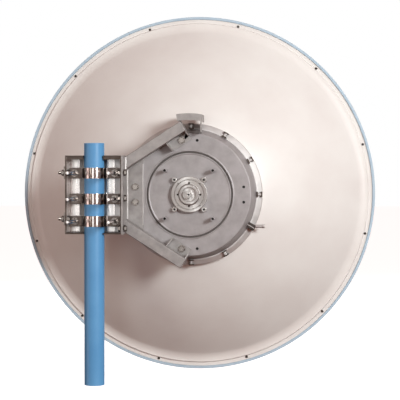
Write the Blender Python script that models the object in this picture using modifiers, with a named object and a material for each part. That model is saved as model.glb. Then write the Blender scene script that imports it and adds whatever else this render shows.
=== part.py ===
"""Parabolic dish antenna of the 1.2 m class, clamped to a stub of round pole.

The antenna is modelled the way it is put together. A pole stub carries a
clamp tray with three straps. A bracket with two arms bolts to the tray and
to the cast hub, and the hub carries the spun reflector and its feed.

Lengths are metres. +Z is up, the dish faces +Y, and the origin is the
centre of the pole's foot. The antenna turns about the pole and tilts about
the middle one of the three bolts that join the bracket to the tray.
"""

import math

import bmesh
import bpy
from mathutils import Matrix, Vector

# Pole
POLE_RADIUS = 0.035
POLE_WALL = 0.004
POLE_HEIGHT = 0.840
POLE_PLUG = 0.006

# Dish axis, which runs along +Y through this x and z
AXIS_X = 0.3245
AXIS_Z = 0.661

# Reflector, rear face: y = vertex + radius squared / four focal lengths
DISH_VERTEX_Y = 0.140
FOUR_FOCAL = 1.238
PARABOLA_RADIUS = 0.597
FLARE_RADIUS = 0.050
RIM_Y = 0.450
JOGGLE_INNER = 0.6335
JOGGLE_OUTER = 0.6365
RIM_RADIUS = 0.650
SKIN = 0.003
FEED_HOLE = 0.0262

# Edge trim
TRIM_RADIUS = 0.660
TRIM_INNER = 0.632
TRIM_THICK = 0.003
TRIM_NEAR_Y = 0.446

# Hub
HUB_PLATE_Y = 0.084
HUB_PLATE_THICK = 0.008
HUB_PLATE_RADIUS = 0.216
HUB_FOOT_RADIUS = 0.2307
HUB_WALL = 0.008
GROOVE_RADIUS = 0.1536
GROOVE_WIDTH = 0.005
GROOVE_DEPTH = 0.004
RING_Y = 0.156
RING_INNER = 0.231
RING_OUTER = 0.252
CLIP_RADIUS = 0.2426
CLIP_SIZE = (0.015, 0.008, 0.024)
CLIP_COUNT = 12
CLIP_SUNK = 0.004
HOLE_CIRCLE = 0.192
HOLE_OFFSET = 8.0
HOLE_RADIUS = 0.0052
POST_SPACING = 0.084
POST_RADIUS = 0.007
POST_HEIGHT = 0.042
POST_THREAD_RADIUS = 0.0035
POST_THREAD_DEPTH = 0.020

# Feed
FEED_FLANGE_RADIUS = 0.064
FEED_FLANGE_THICK = 0.018
FEED_LUG_SPACING = 0.0518
FEED_LUG_RADIUS = 0.0095
FEED_LUG_HOLE = 0.004
FEED_BOSS_RADIUS = 0.035
FEED_BOSS_RISE = 0.010
FEED_PORT_RADIUS = 0.014
FEED_PORT_RISE = 0.012
FEED_PORT_LEFT = 0.008
FEED_PORT_DROP = 0.002
FEED_TUBE_RADIUS = 0.0245
FEED_TUBE_WALL = 0.003
FEED_TUBE_END = 0.400
FEED_CONE_RADIUS = 0.046
FEED_CONE_END = 0.438
FEED_CONE_LIP = 0.004
FEED_CONE_NECK = 0.006
FEED_CAP_RADIUS = 0.058
FEED_CAP_END = 0.450

# Bracket: two arms, a foot on the hub and a side plate on the tray.
# The arms' left inner corner and their slope are taken from the dish axis.
ARM_REAR_Y = 0.022
ARM_SLOPE = math.radians(32.6)
ARM_INNER_DISTANCE = 0.1929
ARM_WIDTH = 0.037
ARM_SKIN = 0.006
ARM_END = 0.114
EAR_START = 0.030
EAR_SLANT = 0.012
EAR_OVERLAP = 0.003
EAR_SHORT = 0.002
EAR_WIDTH = 0.034
EAR_THICK = 0.008
FOOT_RIGHT = -0.162
SIDE_PLATE_LEFT = 0.0988
SIDE_PLATE_THICK = 0.006
SIDE_PLATE_NEAR_Y = -0.040
SIDE_PLATE_HALF_HEIGHT = 0.136
BOLT_RADIUS = 0.006
BOLT_HOLE = 0.0066
HEAD_THICK = 0.008
POINT_LENGTH = 0.004
SLOT_PLAY = 0.0004

# Tilt hinge and its two clamping bolts, seen from the side
PIVOT_Y = -0.010
PIVOT_DROP = 0.0115
UPPER_BOLT_RISE = 0.0886
LOWER_BOLT_DROP = 0.1044
TILT_RANGE = 8.0

# Clamp tray, open towards -Y, notched around the pole
TRAY_HALF_WIDTH = 0.0985
TRAY_HALF_HEIGHT = 0.136
TRAY_NEAR_Y = -0.025
TRAY_WEB_Y = 0.060
TRAY_SKIN = 0.005
POLE_SEAT = 0.0355

# Straps and studs
STRAP_OFFSETS = {"upper": 0.075, "middle": -0.0145, "lower": -0.092}
STRAP_HEIGHT = 0.038
STRAP_THICK = 0.005
STRAP_EAR_Y = 0.010
STRAP_HALF_WIDTH = 0.089
STUD_X = 0.070
STUD_TIP_Y = -0.145
STUD_POINT = 0.002
END_BOLT_OFFSETS = (0.0766, -0.0834)
NUT_RADIUS = 0.011
NUT_THICK = 0.009
WASHER_RADIUS = 0.013
WASHER_THICK = 0.0025

# Hood over the top of the hub ring, and the cleat on its lower right
HOOD_OUTER = 0.283
HOOD_BAND = 0.2594
HOOD_CHEEK_INNER = 0.222
HOOD_REAR_Y = 0.030
HOOD_STEP_Y = 0.110
HOOD_SKIN = 0.006
HOOD_LEFT_ANGLE = 98.6
HOOD_RIGHT_ANGLE = 77.7
CLEAT_LEFT = 0.209
CLEAT_RIGHT = 0.263
CLEAT_Z = -0.113
CLEAT_HEIGHT = 0.024
CLEAT_RISE = 0.016

# Faceting of the turned parts, and the gap that touching parts keep
DISH_STEPS = 64
POLE_STEPS = 48
GAP = 0.0003

# How far a cutter runs past the faces that it cuts
OVERCUT = 0.02

DISH_AXIS = Vector((AXIS_X, 0.0, AXIS_Z))
TILT_AXIS = Vector((0.0, PIVOT_Y, AXIS_Z - PIVOT_DROP))
FACING_FRONT = (-math.pi / 2, 0.0, 0.0)


def clear_scene():
    """Remove every object of the open file."""
    for obj in list(bpy.data.objects):
        bpy.data.objects.remove(obj, do_unlink=True)


def make_collection(name):
    """Return a new collection linked to the scene."""
    collection = bpy.data.collections.new(name)
    bpy.context.scene.collection.children.link(collection)
    return collection


def make_material(name, colour, roughness, metallic):
    """Return a Principled material with one colour."""
    material = bpy.data.materials.new(name)
    material.use_nodes = True
    shader = material.node_tree.nodes["Principled BSDF"]
    shader.inputs["Base Color"].default_value = (*colour, 1.0)
    shader.inputs["Roughness"].default_value = roughness
    shader.inputs["Metallic"].default_value = metallic
    material.diffuse_color = (*colour, 1.0)
    return material


def put_in(obj, collection):
    """Link an object to one collection only."""
    for other in list(obj.users_collection):
        other.objects.unlink(obj)
    collection.objects.link(obj)


def dish_surface(radius):
    """Return the y of the reflector's rear face at a radius."""
    return DISH_VERTEX_Y + radius * radius / FOUR_FOCAL


def polar(radius, degrees):
    """Return x and z, from the dish axis, of a point at an angle from +X."""
    angle = math.radians(degrees)
    return radius * math.cos(angle), radius * math.sin(angle)


def at_dish(x, y, z):
    """Return the world place of a point measured from the dish axis."""
    return Vector((AXIS_X + x, y, AXIS_Z + z))


def smooth_round(obj, degrees=30.0):
    """Shade the curved faces smooth and keep the corners sharp."""
    obj.data.shade_smooth()
    obj.data.set_sharp_from_angle(angle=math.radians(degrees))


class Workshop:
    """Makes named solids and files them with their material and axis."""

    def __init__(self, parts, cutters):
        self.parts = parts
        self.cutters = cutters
        self.material = None
        self.axis = None

    def use(self, material, axis):
        """Give the next solids this material and parent them to this axis."""
        self.material = material
        self.axis = axis

    def file(self, obj, name, helper=False):
        """Name a solid and put it with the parts, or with the cutters."""
        obj.name = name
        obj.data.name = name
        if helper:
            put_in(obj, self.cutters)
            obj.hide_render = True
            obj.display_type = "WIRE"
            return obj
        put_in(obj, self.parts)
        obj.data.materials.clear()
        obj.data.materials.append(self.material)
        obj.parent = self.axis
        obj.matrix_parent_inverse = Matrix.Translation(-self.axis.location)
        return obj

    def box(self, name, low, high, helper=False):
        """Return a box between two corners."""
        low = Vector(low)
        high = Vector(high)
        bpy.ops.mesh.primitive_cube_add(size=1.0, location=(low + high) / 2)
        obj = bpy.context.object
        obj.data.transform(Matrix.Diagonal((*(high - low), 1.0)))
        return self.file(obj, name, helper)

    def rod(self, name, start, end, radius, sides=24, helper=False):
        """Return a round or many-sided bar from one point to another."""
        start = Vector(start)
        end = Vector(end)
        span = end - start
        bpy.ops.mesh.primitive_cylinder_add(
            vertices=sides,
            radius=radius,
            depth=span.length,
            location=(start + end) / 2,
            rotation=span.to_track_quat("Z", "Y").to_euler(),
        )
        obj = self.file(bpy.context.object, name, helper)
        if sides > 8:
            smooth_round(obj, 50.0)
        return obj

    def turned(self, name, profile, place, turn, steps=DISH_STEPS, closed=True):
        """Return the solid that a profile of radius and height sweeps."""
        count = len(profile)
        last = count if closed else count - 1
        edges = [(index, (index + 1) % count) for index in range(last)]
        mesh = bpy.data.meshes.new(name)
        mesh.from_pydata([(radius, 0.0, height) for radius, height in profile], edges, [])
        obj = bpy.data.objects.new(name, mesh)
        obj.location = place
        obj.rotation_euler = turn
        self.file(obj, name)
        screw = obj.modifiers.new("Turn", "SCREW")
        screw.axis = "Z"
        screw.steps = steps
        screw.render_steps = steps
        screw.use_merge_vertices = True
        screw.merge_threshold = 0.00001
        screw.use_smooth_shade = False
        return obj

    def prism(self, name, outline, axis, low, high, helper=False):
        """Return a flat outline, or outlines, drawn out along x, y or z."""
        turns = {
            "x": (math.pi / 2, 0.0, math.pi / 2),
            "y": (math.pi / 2, 0.0, 0.0),
            "z": (0.0, 0.0, 0.0),
        }
        curve = bpy.data.curves.new(name, "CURVE")
        curve.dimensions = "2D"
        curve.fill_mode = "BOTH"
        curve.extrude = (high - low) / 2
        spline = curve.splines.new("POLY")
        spline.points.add(len(outline) - 1)
        for point, place in zip(spline.points, outline):
            point.co = (place[0], place[1], 0.0, 1.0)
        spline.use_cyclic_u = True
        drawn = bpy.data.objects.new(name + "_outline", curve)
        middle = (high + low) / 2
        drawn.location = [middle if key == axis else 0.0 for key in "xyz"]
        drawn.rotation_euler = turns[axis]
        self.parts.objects.link(drawn)
        bpy.context.view_layer.update()
        graph = bpy.context.evaluated_depsgraph_get()
        mesh = bpy.data.meshes.new_from_object(drawn.evaluated_get(graph))
        work = bmesh.new()
        work.from_mesh(mesh)
        bmesh.ops.remove_doubles(work, verts=work.verts, dist=0.00001)
        bmesh.ops.recalc_face_normals(work, faces=work.faces)
        work.to_mesh(mesh)
        work.free()
        obj = bpy.data.objects.new(name, mesh)
        obj.matrix_world = drawn.matrix_world
        bpy.data.objects.remove(drawn, do_unlink=True)
        return self.file(obj, name, helper)

    def combine(self, target, other, operation):
        """Cut, or join, another solid with the target."""
        change = target.modifiers.new(other.name, "BOOLEAN")
        change.operation = operation
        change.solver = "EXACT"
        change.object = other

    def cut(self, target, cutter):
        """Cut the cutter's shape out of the target."""
        self.combine(target, cutter, "DIFFERENCE")

    def join(self, target, other):
        """Make the other shape part of the target."""
        self.combine(target, other, "UNION")

    def drill(self, target, start, end, radius, sides=16):
        """Drill a round hole through the target."""
        name = target.name + "_hole_" + str(len(target.modifiers))
        self.cut(target, self.rod(name, start, end, radius, sides, helper=True))


def arm_frame(side):
    """Return the along and outward directions of an arm, from the dish axis."""
    along = Vector((math.cos(ARM_SLOPE), side * math.sin(ARM_SLOPE)))
    outward = Vector((-math.sin(ARM_SLOPE), side * math.cos(ARM_SLOPE)))
    return along, outward


def arm_left_x():
    """Return the x, from the dish axis, where the arms meet the side plate."""
    return SIDE_PLATE_LEFT + SIDE_PLATE_THICK + GAP - AXIS_X


def arm_corner(side, distance, left_x):
    """Return where a line along the arm, at a distance from the axis, meets x."""
    along, outward = arm_frame(side)
    start = outward * distance
    return start + along * ((left_x - start.x) / along.x)


def arm_outline(side, inner, outer, left_x, end):
    """Return the four corners of a strip along an arm, in world x and z."""
    along, outward = arm_frame(side)
    corners = [
        arm_corner(side, inner, left_x),
        along * end + outward * inner,
        along * end + outward * outer,
        arm_corner(side, outer, left_x),
    ]
    return [(AXIS_X + corner.x, AXIS_Z + corner.y) for corner in corners]


def build_pole(shop):
    """Make the pole stub, the plate in its foot and the plug in its top."""
    bore = POLE_RADIUS - POLE_WALL
    profile = [
        (POLE_RADIUS, POLE_HEIGHT),
        (POLE_RADIUS, 0.0),
        (bore, 0.0),
        (bore, POLE_HEIGHT),
    ]
    smooth_after(shop.turned("pole_tube", profile, (0, 0, 0), (0, 0, 0), POLE_STEPS))
    disc = bore - GAP
    shop.rod("pole_foot_plate", (0, 0, 0), (0, 0, POLE_PLUG), disc, POLE_STEPS)
    top = POLE_HEIGHT - POLE_PLUG
    shop.rod("pole_top_plug", (0, 0, top), (0, 0, POLE_HEIGHT), disc, POLE_STEPS)


def smooth_after(obj):
    """Shade a turned solid smooth with an angle limit."""
    for modifier in obj.modifiers:
        if modifier.type == "SCREW":
            modifier.use_smooth_shade = True
    return obj


def reflector_profile():
    """Return radius and y along the reflector's rear face, rim first."""
    slope = math.atan(2 * PARABOLA_RADIUS / FOUR_FOCAL)
    start_y = dish_surface(PARABOLA_RADIUS)
    flare = []
    for step in range(1, 5):
        angle = slope * (1 - step / 4)
        radius = PARABOLA_RADIUS + FLARE_RADIUS * (math.sin(slope) - math.sin(angle))
        rise = FLARE_RADIUS * (math.cos(angle) - math.cos(slope))
        flare.append((radius, start_y + rise))
    bowl = []
    rings = 8
    for step in range(rings + 1):
        radius = FEED_HOLE + (PARABOLA_RADIUS - FEED_HOLE) * step / rings
        bowl.append((radius, dish_surface(radius)))
    edge = [
        (JOGGLE_INNER, flare[-1][1]),
        (JOGGLE_OUTER, RIM_Y),
        (RIM_RADIUS, RIM_Y),
    ]
    return list(reversed(bowl + flare + edge))


def build_reflector(shop):
    """Make the spun reflector skin and the trim around its edge."""
    place = DISH_AXIS
    skin = shop.turned("reflector", reflector_profile(), place, FACING_FRONT, closed=False)
    shell = skin.modifiers.new("Skin", "SOLIDIFY")
    shell.thickness = SKIN
    shell.offset = -1.0
    smooth_after(skin)


def build_trim(shop):
    """Make the edge trim: a band around the rim with a lip on its front."""
    lip_y = RIM_Y + SKIN + GAP
    profile = [
        (TRIM_RADIUS, lip_y + TRIM_THICK),
        (TRIM_RADIUS, TRIM_NEAR_Y),
        (RIM_RADIUS + 2 * GAP, TRIM_NEAR_Y),
        (RIM_RADIUS + 2 * GAP, lip_y),
        (TRIM_INNER, lip_y),
        (TRIM_INNER, lip_y + TRIM_THICK),
    ]
    smooth_after(shop.turned("rim_trim", profile, DISH_AXIS, FACING_FRONT))


def hub_profile():
    """Return radius and y around the section of the hub casting."""
    foot_inner = HUB_FOOT_RADIUS - HUB_WALL
    groove_low = GROOVE_RADIUS - GROOVE_WIDTH / 2
    groove_high = GROOVE_RADIUS + GROOVE_WIDTH / 2
    bore = FEED_TUBE_RADIUS + GAP
    inside = HUB_PLATE_Y + HUB_PLATE_THICK
    return [
        (HUB_FOOT_RADIUS, dish_surface(HUB_FOOT_RADIUS) - 2 * GAP),
        (HUB_FOOT_RADIUS, RING_Y),
        (HUB_PLATE_RADIUS, HUB_PLATE_Y),
        (groove_high, HUB_PLATE_Y),
        (GROOVE_RADIUS, HUB_PLATE_Y + GROOVE_DEPTH),
        (groove_low, HUB_PLATE_Y),
        (bore, HUB_PLATE_Y),
        (bore, inside),
        (HUB_PLATE_RADIUS - HUB_WALL, inside),
        (foot_inner, RING_Y),
        (foot_inner, dish_surface(foot_inner) - 2 * GAP),
    ]


def build_hub(shop):
    """Make the pan-shaped hub casting with its open bolt holes."""
    hub = shop.turned("hub_casting", hub_profile(), DISH_AXIS, FACING_FRONT)
    for quarter in range(4):
        for side in (-1, 1):
            x, z = polar(HOLE_CIRCLE, 90 * quarter + side * HOLE_OFFSET)
            radius = BOLT_HOLE if x < -HOLE_CIRCLE / 10 else HOLE_RADIUS
            start = at_dish(x, HUB_PLATE_Y - OVERCUT, z)
            end = at_dish(x, HUB_PLATE_Y + OVERCUT, z)
            shop.drill(hub, start, end, radius, 12)
    smooth_after(hub)


def build_ring(shop):
    """Make the ring that seats the hub on the reflector, with its clips."""
    profile = [
        (RING_OUTER, dish_surface(RING_OUTER) - 2 * GAP),
        (RING_OUTER, RING_Y),
        (RING_INNER, RING_Y),
        (RING_INNER, dish_surface(RING_INNER) - 2 * GAP),
    ]
    ring = shop.turned("hub_ring", profile, DISH_AXIS, FACING_FRONT)
    cleat_place = CLIP_COUNT - 1
    for index in range(CLIP_COUNT):
        if index == cleat_place:
            continue
        degrees = index * 360 / CLIP_COUNT
        x, z = polar(CLIP_RADIUS, degrees)
        deep, high, wide = CLIP_SIZE
        name = "ring_clip_" + str(index)
        low = (-deep / 2, -high, -wide / 2)
        clip = shop.box(name, low, (deep / 2, CLIP_SUNK, wide / 2), helper=True)
        clip.data.transform(Matrix.Translation(clip.location))
        clip.rotation_euler = (0.0, -math.radians(degrees), 0.0)
        clip.location = at_dish(x, RING_Y, z)
        shop.join(ring, clip)
    smooth_after(ring)


def build_posts(shop):
    """Make the four tapped posts that stand on the hub plate."""
    for row, side_z in (("upper", 1), ("lower", -1)):
        for column, side_x in (("left", -1), ("right", 1)):
            x = side_x * POST_SPACING
            z = side_z * POST_SPACING
            base = HUB_PLATE_Y - GAP
            tip = base - POST_HEIGHT
            name = "post_" + row + "_" + column
            post = shop.rod(name, at_dish(x, tip, z), at_dish(x, base, z), POST_RADIUS, 16)
            start = at_dish(x, tip - OVERCUT, z)
            end = at_dish(x, tip + POST_THREAD_DEPTH, z)
            shop.drill(post, start, end, POST_THREAD_RADIUS, 10)


def build_feed(shop, cone_material, tube_material):
    """Make the feed: rear flange, waveguide tube, cone and splash cap."""
    front = HUB_PLATE_Y - GAP
    rear = front - FEED_FLANGE_THICK
    boss = rear - FEED_BOSS_RISE
    port = boss - FEED_PORT_RISE
    flange = shop.rod("feed_flange", at_dish(0, rear, 0), at_dish(0, front, 0), FEED_FLANGE_RADIUS, 48)
    for side_x in (-1, 1):
        for side_z in (-1, 1):
            x = side_x * FEED_LUG_SPACING
            z = side_z * FEED_LUG_SPACING
            name = "feed_lug_" + str(side_x) + "_" + str(side_z)
            lug = shop.rod(
                name,
                at_dish(x, rear, z),
                at_dish(x, front, z),
                FEED_LUG_RADIUS,
                16,
                helper=True,
            )
            shop.join(flange, lug)
            start = at_dish(x, rear - OVERCUT, z)
            shop.drill(flange, start, at_dish(x, front + OVERCUT, z), FEED_LUG_HOLE, 10)
    start = at_dish(0, boss, 0)
    end = at_dish(0, rear + FEED_BOSS_RISE / 4, 0)
    shop.join(flange, shop.rod("feed_boss", start, end, FEED_BOSS_RADIUS, 32, helper=True))
    start = at_dish(-FEED_PORT_LEFT, port, -FEED_PORT_DROP)
    end = at_dish(-FEED_PORT_LEFT, boss + FEED_BOSS_RISE / 4, -FEED_PORT_DROP)
    shop.join(flange, shop.rod("feed_port", start, end, FEED_PORT_RADIUS, 20, helper=True))

    shop.use(tube_material, shop.axis)
    outer = FEED_TUBE_RADIUS
    inner = FEED_TUBE_RADIUS - FEED_TUBE_WALL
    profile = [
        (outer, FEED_TUBE_END),
        (outer, HUB_PLATE_Y),
        (inner, HUB_PLATE_Y),
        (inner, FEED_TUBE_END),
    ]
    smooth_after(shop.turned("feed_tube", profile, DISH_AXIS, FACING_FRONT, 32))

    shop.use(cone_material, shop.axis)
    base = FEED_TUBE_END + GAP
    profile = [
        (0.0, FEED_CONE_END),
        (FEED_CONE_RADIUS, FEED_CONE_END),
        (FEED_CONE_RADIUS, FEED_CONE_END - FEED_CONE_LIP),
        (outer, base + FEED_CONE_NECK),
        (outer, base),
        (0.0, base),
    ]
    smooth_after(shop.turned("feed_cone", profile, DISH_AXIS, FACING_FRONT, 32, closed=False))

    shop.use(tube_material, shop.axis)
    base = FEED_CONE_END + GAP
    shop.rod("feed_cap", at_dish(0, base, 0), at_dish(0, FEED_CAP_END, 0), FEED_CAP_RADIUS, 32)


def build_arm(shop, name, side):
    """Make one arm: a channel, open to the front, with an ear on the hub."""
    front = HUB_PLATE_Y - GAP
    inner = ARM_INNER_DISTANCE
    outer = inner + ARM_WIDTH
    left = arm_left_x()
    arm = shop.prism(name, arm_outline(side, inner, outer, left, ARM_END), "y", ARM_REAR_Y, front)
    pocket_outline = arm_outline(
        side,
        inner + ARM_SKIN,
        outer - ARM_SKIN,
        left + ARM_SKIN,
        ARM_END - ARM_SKIN,
    )
    pocket = shop.prism(
        name + "_pocket",
        pocket_outline,
        "y",
        ARM_REAR_Y + ARM_SKIN,
        front + OVERCUT,
        helper=True,
    )
    shop.cut(arm, pocket)
    along, outward = arm_frame(side)
    ear_corners = [
        along * EAR_START + outward * (inner + EAR_OVERLAP),
        along * (EAR_START + EAR_SLANT) + outward * (inner - EAR_WIDTH),
        along * (ARM_END - EAR_SHORT) + outward * (inner - EAR_WIDTH),
        along * (ARM_END - EAR_SHORT) + outward * (inner + EAR_OVERLAP),
    ]
    ear_outline = [(AXIS_X + corner.x, AXIS_Z + corner.y) for corner in ear_corners]
    ear_front = front - GAP
    ear = shop.prism(name + "_ear", ear_outline, "y", front - EAR_THICK, ear_front, helper=True)
    shop.join(arm, ear)
    x, z = polar(HOLE_CIRCLE, side * (90 + HOLE_OFFSET))
    start = at_dish(x, front - OVERCUT, z)
    shop.drill(arm, start, at_dish(x, front + OVERCUT, z), BOLT_HOLE, 12)


def build_foot(shop):
    """Make the foot strip that lies on the hub between the two arms."""
    front = HUB_PLATE_Y - GAP
    inner = ARM_INNER_DISTANCE - 2 * GAP
    left = arm_left_x()
    corners = [
        arm_corner(-1, inner, left),
        arm_corner(-1, inner, FOOT_RIGHT),
        arm_corner(1, inner, FOOT_RIGHT),
        arm_corner(1, inner, left),
    ]
    outline = [(AXIS_X + corner.x, AXIS_Z + corner.y) for corner in corners]
    foot = shop.prism("bracket_foot", outline, "y", front - EAR_THICK, front)
    for side in (-1, 1):
        x, z = polar(HOLE_CIRCLE, 180 + side * HOLE_OFFSET)
        start = at_dish(x, front - OVERCUT, z)
        shop.drill(foot, start, at_dish(x, front + OVERCUT, z), BOLT_HOLE, 12)


def arc_slot(radius, middle_degrees):
    """Return the outline of a curved slot about the tilt axis, in y and z."""
    half_width = BOLT_HOLE + SLOT_PLAY
    reach = TILT_RANGE + 1.0
    outline = []
    for step in range(7):
        angle = math.radians(middle_degrees - reach + 2 * reach * step / 6)
        outline.append(((radius + half_width) * math.cos(angle), (radius + half_width) * math.sin(angle)))
    end = math.radians(middle_degrees + reach)
    for step in range(1, 6):
        turn = end + math.pi * step / 6
        outline.append(round_end(radius, end, half_width, turn))
    for step in range(7):
        angle = math.radians(middle_degrees + reach - 2 * reach * step / 6)
        outline.append(((radius - half_width) * math.cos(angle), (radius - half_width) * math.sin(angle)))
    start = math.radians(middle_degrees - reach)
    for step in range(1, 6):
        turn = start + math.pi + math.pi * step / 6
        outline.append(round_end(radius, start, half_width, turn))
    return [(TILT_AXIS.y + y, TILT_AXIS.z + z) for y, z in outline]


def round_end(radius, angle, half_width, turn):
    """Return a point on the half circle that closes a curved slot."""
    y = radius * math.cos(angle) + half_width * math.cos(turn)
    z = radius * math.sin(angle) + half_width * math.sin(turn)
    return y, z


def build_side_plate(shop):
    """Make the side plate with its pivot hole and two curved slots."""
    low = (SIDE_PLATE_LEFT, SIDE_PLATE_NEAR_Y, AXIS_Z - SIDE_PLATE_HALF_HEIGHT)
    right = SIDE_PLATE_LEFT + SIDE_PLATE_THICK
    high = (right, HUB_PLATE_Y - GAP, AXIS_Z + SIDE_PLATE_HALF_HEIGHT)
    plate = shop.box("side_plate", low, high)
    near = SIDE_PLATE_LEFT - OVERCUT
    far = right + OVERCUT
    shop.drill(plate, (near, TILT_AXIS.y, TILT_AXIS.z), (far, TILT_AXIS.y, TILT_AXIS.z), BOLT_HOLE)
    for name, radius, middle in (
        ("slot_upper", UPPER_BOLT_RISE, 90.0),
        ("slot_lower", LOWER_BOLT_DROP, -90.0),
    ):
        slot = shop.prism(name, arc_slot(radius, middle), "x", near, far, helper=True)
        shop.cut(plate, slot)


def hex_bolt(shop, name, seat, out, shank, nut_at=None):
    """Make a hexagon bolt: head and washer outside its seat, shank inside.

    seat is the point on the surface, out points away from it, shank is the
    length below the surface, and nut_at is how deep the nut's face lies.
    """
    seat = Vector(seat)
    out = Vector(out)
    lift = seat + out * GAP
    top = lift + out * (WASHER_THICK + HEAD_THICK)
    bolt = shop.rod(name, seat - out * shank, lift + out * HEAD_THICK, BOLT_RADIUS, 12)
    washer = shop.rod(name + "_washer", lift, lift + out * WASHER_THICK, WASHER_RADIUS, 20, helper=True)
    shop.join(bolt, washer)
    start = lift + out * (WASHER_THICK / 2)
    shop.join(bolt, shop.rod(name + "_head", start, top, NUT_RADIUS, 6, helper=True))
    if nut_at is not None:
        face = seat - out * (nut_at + GAP)
        nut = shop.rod(name + "_nut", face, face - out * NUT_THICK, NUT_RADIUS, 6, helper=True)
        shop.join(bolt, nut)
    return bolt


def build_bracket_bolts(shop):
    """Make the four bolts that hold the bracket on the hub plate."""
    surface = HUB_PLATE_Y - GAP - EAR_THICK
    reach = EAR_THICK + GAP + HUB_PLATE_THICK + POINT_LENGTH
    for name, degrees in (
        ("bracket_bolt_top", 90.0 + HOLE_OFFSET),
        ("bracket_bolt_left_upper", 180.0 - HOLE_OFFSET),
        ("bracket_bolt_left_lower", 180.0 + HOLE_OFFSET),
        ("bracket_bolt_bottom", 270.0 - HOLE_OFFSET),
    ):
        x, z = polar(HOLE_CIRCLE, degrees)
        hex_bolt(shop, name, at_dish(x, surface, z), (0, -1, 0), reach)


def build_tray(shop):
    """Make the clamp tray: a box open to the rear, notched for the pole."""
    low = (-TRAY_HALF_WIDTH, TRAY_NEAR_Y, AXIS_Z - TRAY_HALF_HEIGHT)
    high = (TRAY_HALF_WIDTH, TRAY_WEB_Y, AXIS_Z + TRAY_HALF_HEIGHT)
    tray = shop.box("clamp_tray", low, high)
    inner_low = (low[0] + TRAY_SKIN, low[1] - OVERCUT, low[2] + TRAY_SKIN)
    inner_high = (high[0] - TRAY_SKIN, high[1] - TRAY_SKIN, high[2] - TRAY_SKIN)
    shop.cut(tray, shop.box("tray_inside", inner_low, inner_high, helper=True))
    outline = [(-POLE_SEAT, TRAY_NEAR_Y - OVERCUT), (POLE_SEAT, TRAY_NEAR_Y - OVERCUT)]
    for step in range(25):
        angle = math.pi * step / 24
        outline.append((POLE_SEAT * math.cos(angle), POLE_SEAT * math.sin(angle)))
    notch = shop.prism("tray_notch", outline, "z", low[2] - OVERCUT, high[2] + OVERCUT, helper=True)
    shop.cut(tray, notch)
    for offset in STRAP_OFFSETS.values():
        for side in (-1, 1):
            x = side * STUD_X
            z = AXIS_Z + offset
            start = (x, TRAY_WEB_Y - OVERCUT, z)
            shop.drill(tray, start, (x, TRAY_WEB_Y + OVERCUT, z), BOLT_HOLE, 12)
    wall = TRAY_HALF_WIDTH
    for rise in (UPPER_BOLT_RISE, 0.0, -LOWER_BOLT_DROP):
        z = TILT_AXIS.z + rise
        start = (wall - OVERCUT, PIVOT_Y, z)
        shop.drill(tray, start, (wall + OVERCUT, PIVOT_Y, z), BOLT_HOLE, 12)
    for offset in END_BOLT_OFFSETS:
        start = (-wall - OVERCUT, PIVOT_Y, AXIS_Z + offset)
        shop.drill(tray, start, (-wall + OVERCUT, PIVOT_Y, AXIS_Z + offset), BOLT_HOLE, 12)


def build_side_bolts(shop):
    """Make the pivot bolt and the tilt bolts, and the two in the left wall."""
    surface = SIDE_PLATE_LEFT + SIDE_PLATE_THICK
    wall_inside = TRAY_HALF_WIDTH - TRAY_SKIN
    nut_at = surface - wall_inside
    for name, rise in (
        ("tilt_bolt_upper", UPPER_BOLT_RISE),
        ("pivot_bolt", 0.0),
        ("tilt_bolt_lower", -LOWER_BOLT_DROP),
    ):
        seat = (surface, PIVOT_Y, TILT_AXIS.z + rise)
        hex_bolt(shop, name, seat, (1, 0, 0), nut_at + NUT_THICK + 2 * GAP, nut_at)
    for name, offset in zip(("end_bolt_upper", "end_bolt_lower"), END_BOLT_OFFSETS):
        seat = (-TRAY_HALF_WIDTH, PIVOT_Y, AXIS_Z + offset)
        hex_bolt(shop, name, seat, (-1, 0, 0), TRAY_SKIN + NUT_THICK + 2 * GAP, TRAY_SKIN)


def half_round(radius, first, last, steps=24):
    """Return the points of an arc about the pole's axis, in x and y."""
    points = []
    for step in range(steps + 1):
        angle = math.radians(first + (last - first) * step / steps)
        points.append((radius * math.cos(angle), radius * math.sin(angle)))
    return points


def strap_outline():
    """Return a strap's outline in x and y: two ears, two legs, a half round."""
    front = STRAP_EAR_Y + STRAP_THICK
    inner = POLE_SEAT
    outer = POLE_SEAT + STRAP_THICK
    outline = [(-STRAP_HALF_WIDTH, front), (-inner, front)]
    outline += half_round(inner, 180, 360)
    outline += [(inner, front), (STRAP_HALF_WIDTH, front)]
    outline += [(STRAP_HALF_WIDTH, STRAP_EAR_Y), (outer, STRAP_EAR_Y)]
    outline += half_round(outer, 360, 180)
    outline += [(-outer, STRAP_EAR_Y), (-STRAP_HALF_WIDTH, STRAP_EAR_Y)]
    return outline


def build_straps(shop):
    """Make the three straps around the rear of the pole."""
    for level, offset in STRAP_OFFSETS.items():
        middle = AXIS_Z + offset
        low = middle - STRAP_HEIGHT / 2
        high = middle + STRAP_HEIGHT / 2
        strap = shop.prism("strap_" + level, strap_outline(), "z", low, high)
        for side in (-1, 1):
            x = side * STUD_X
            start = (x, STRAP_EAR_Y - OVERCUT, middle)
            end = (x, STRAP_EAR_Y + OVERCUT, middle)
            shop.drill(strap, start, end, BOLT_HOLE, 12)


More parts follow.
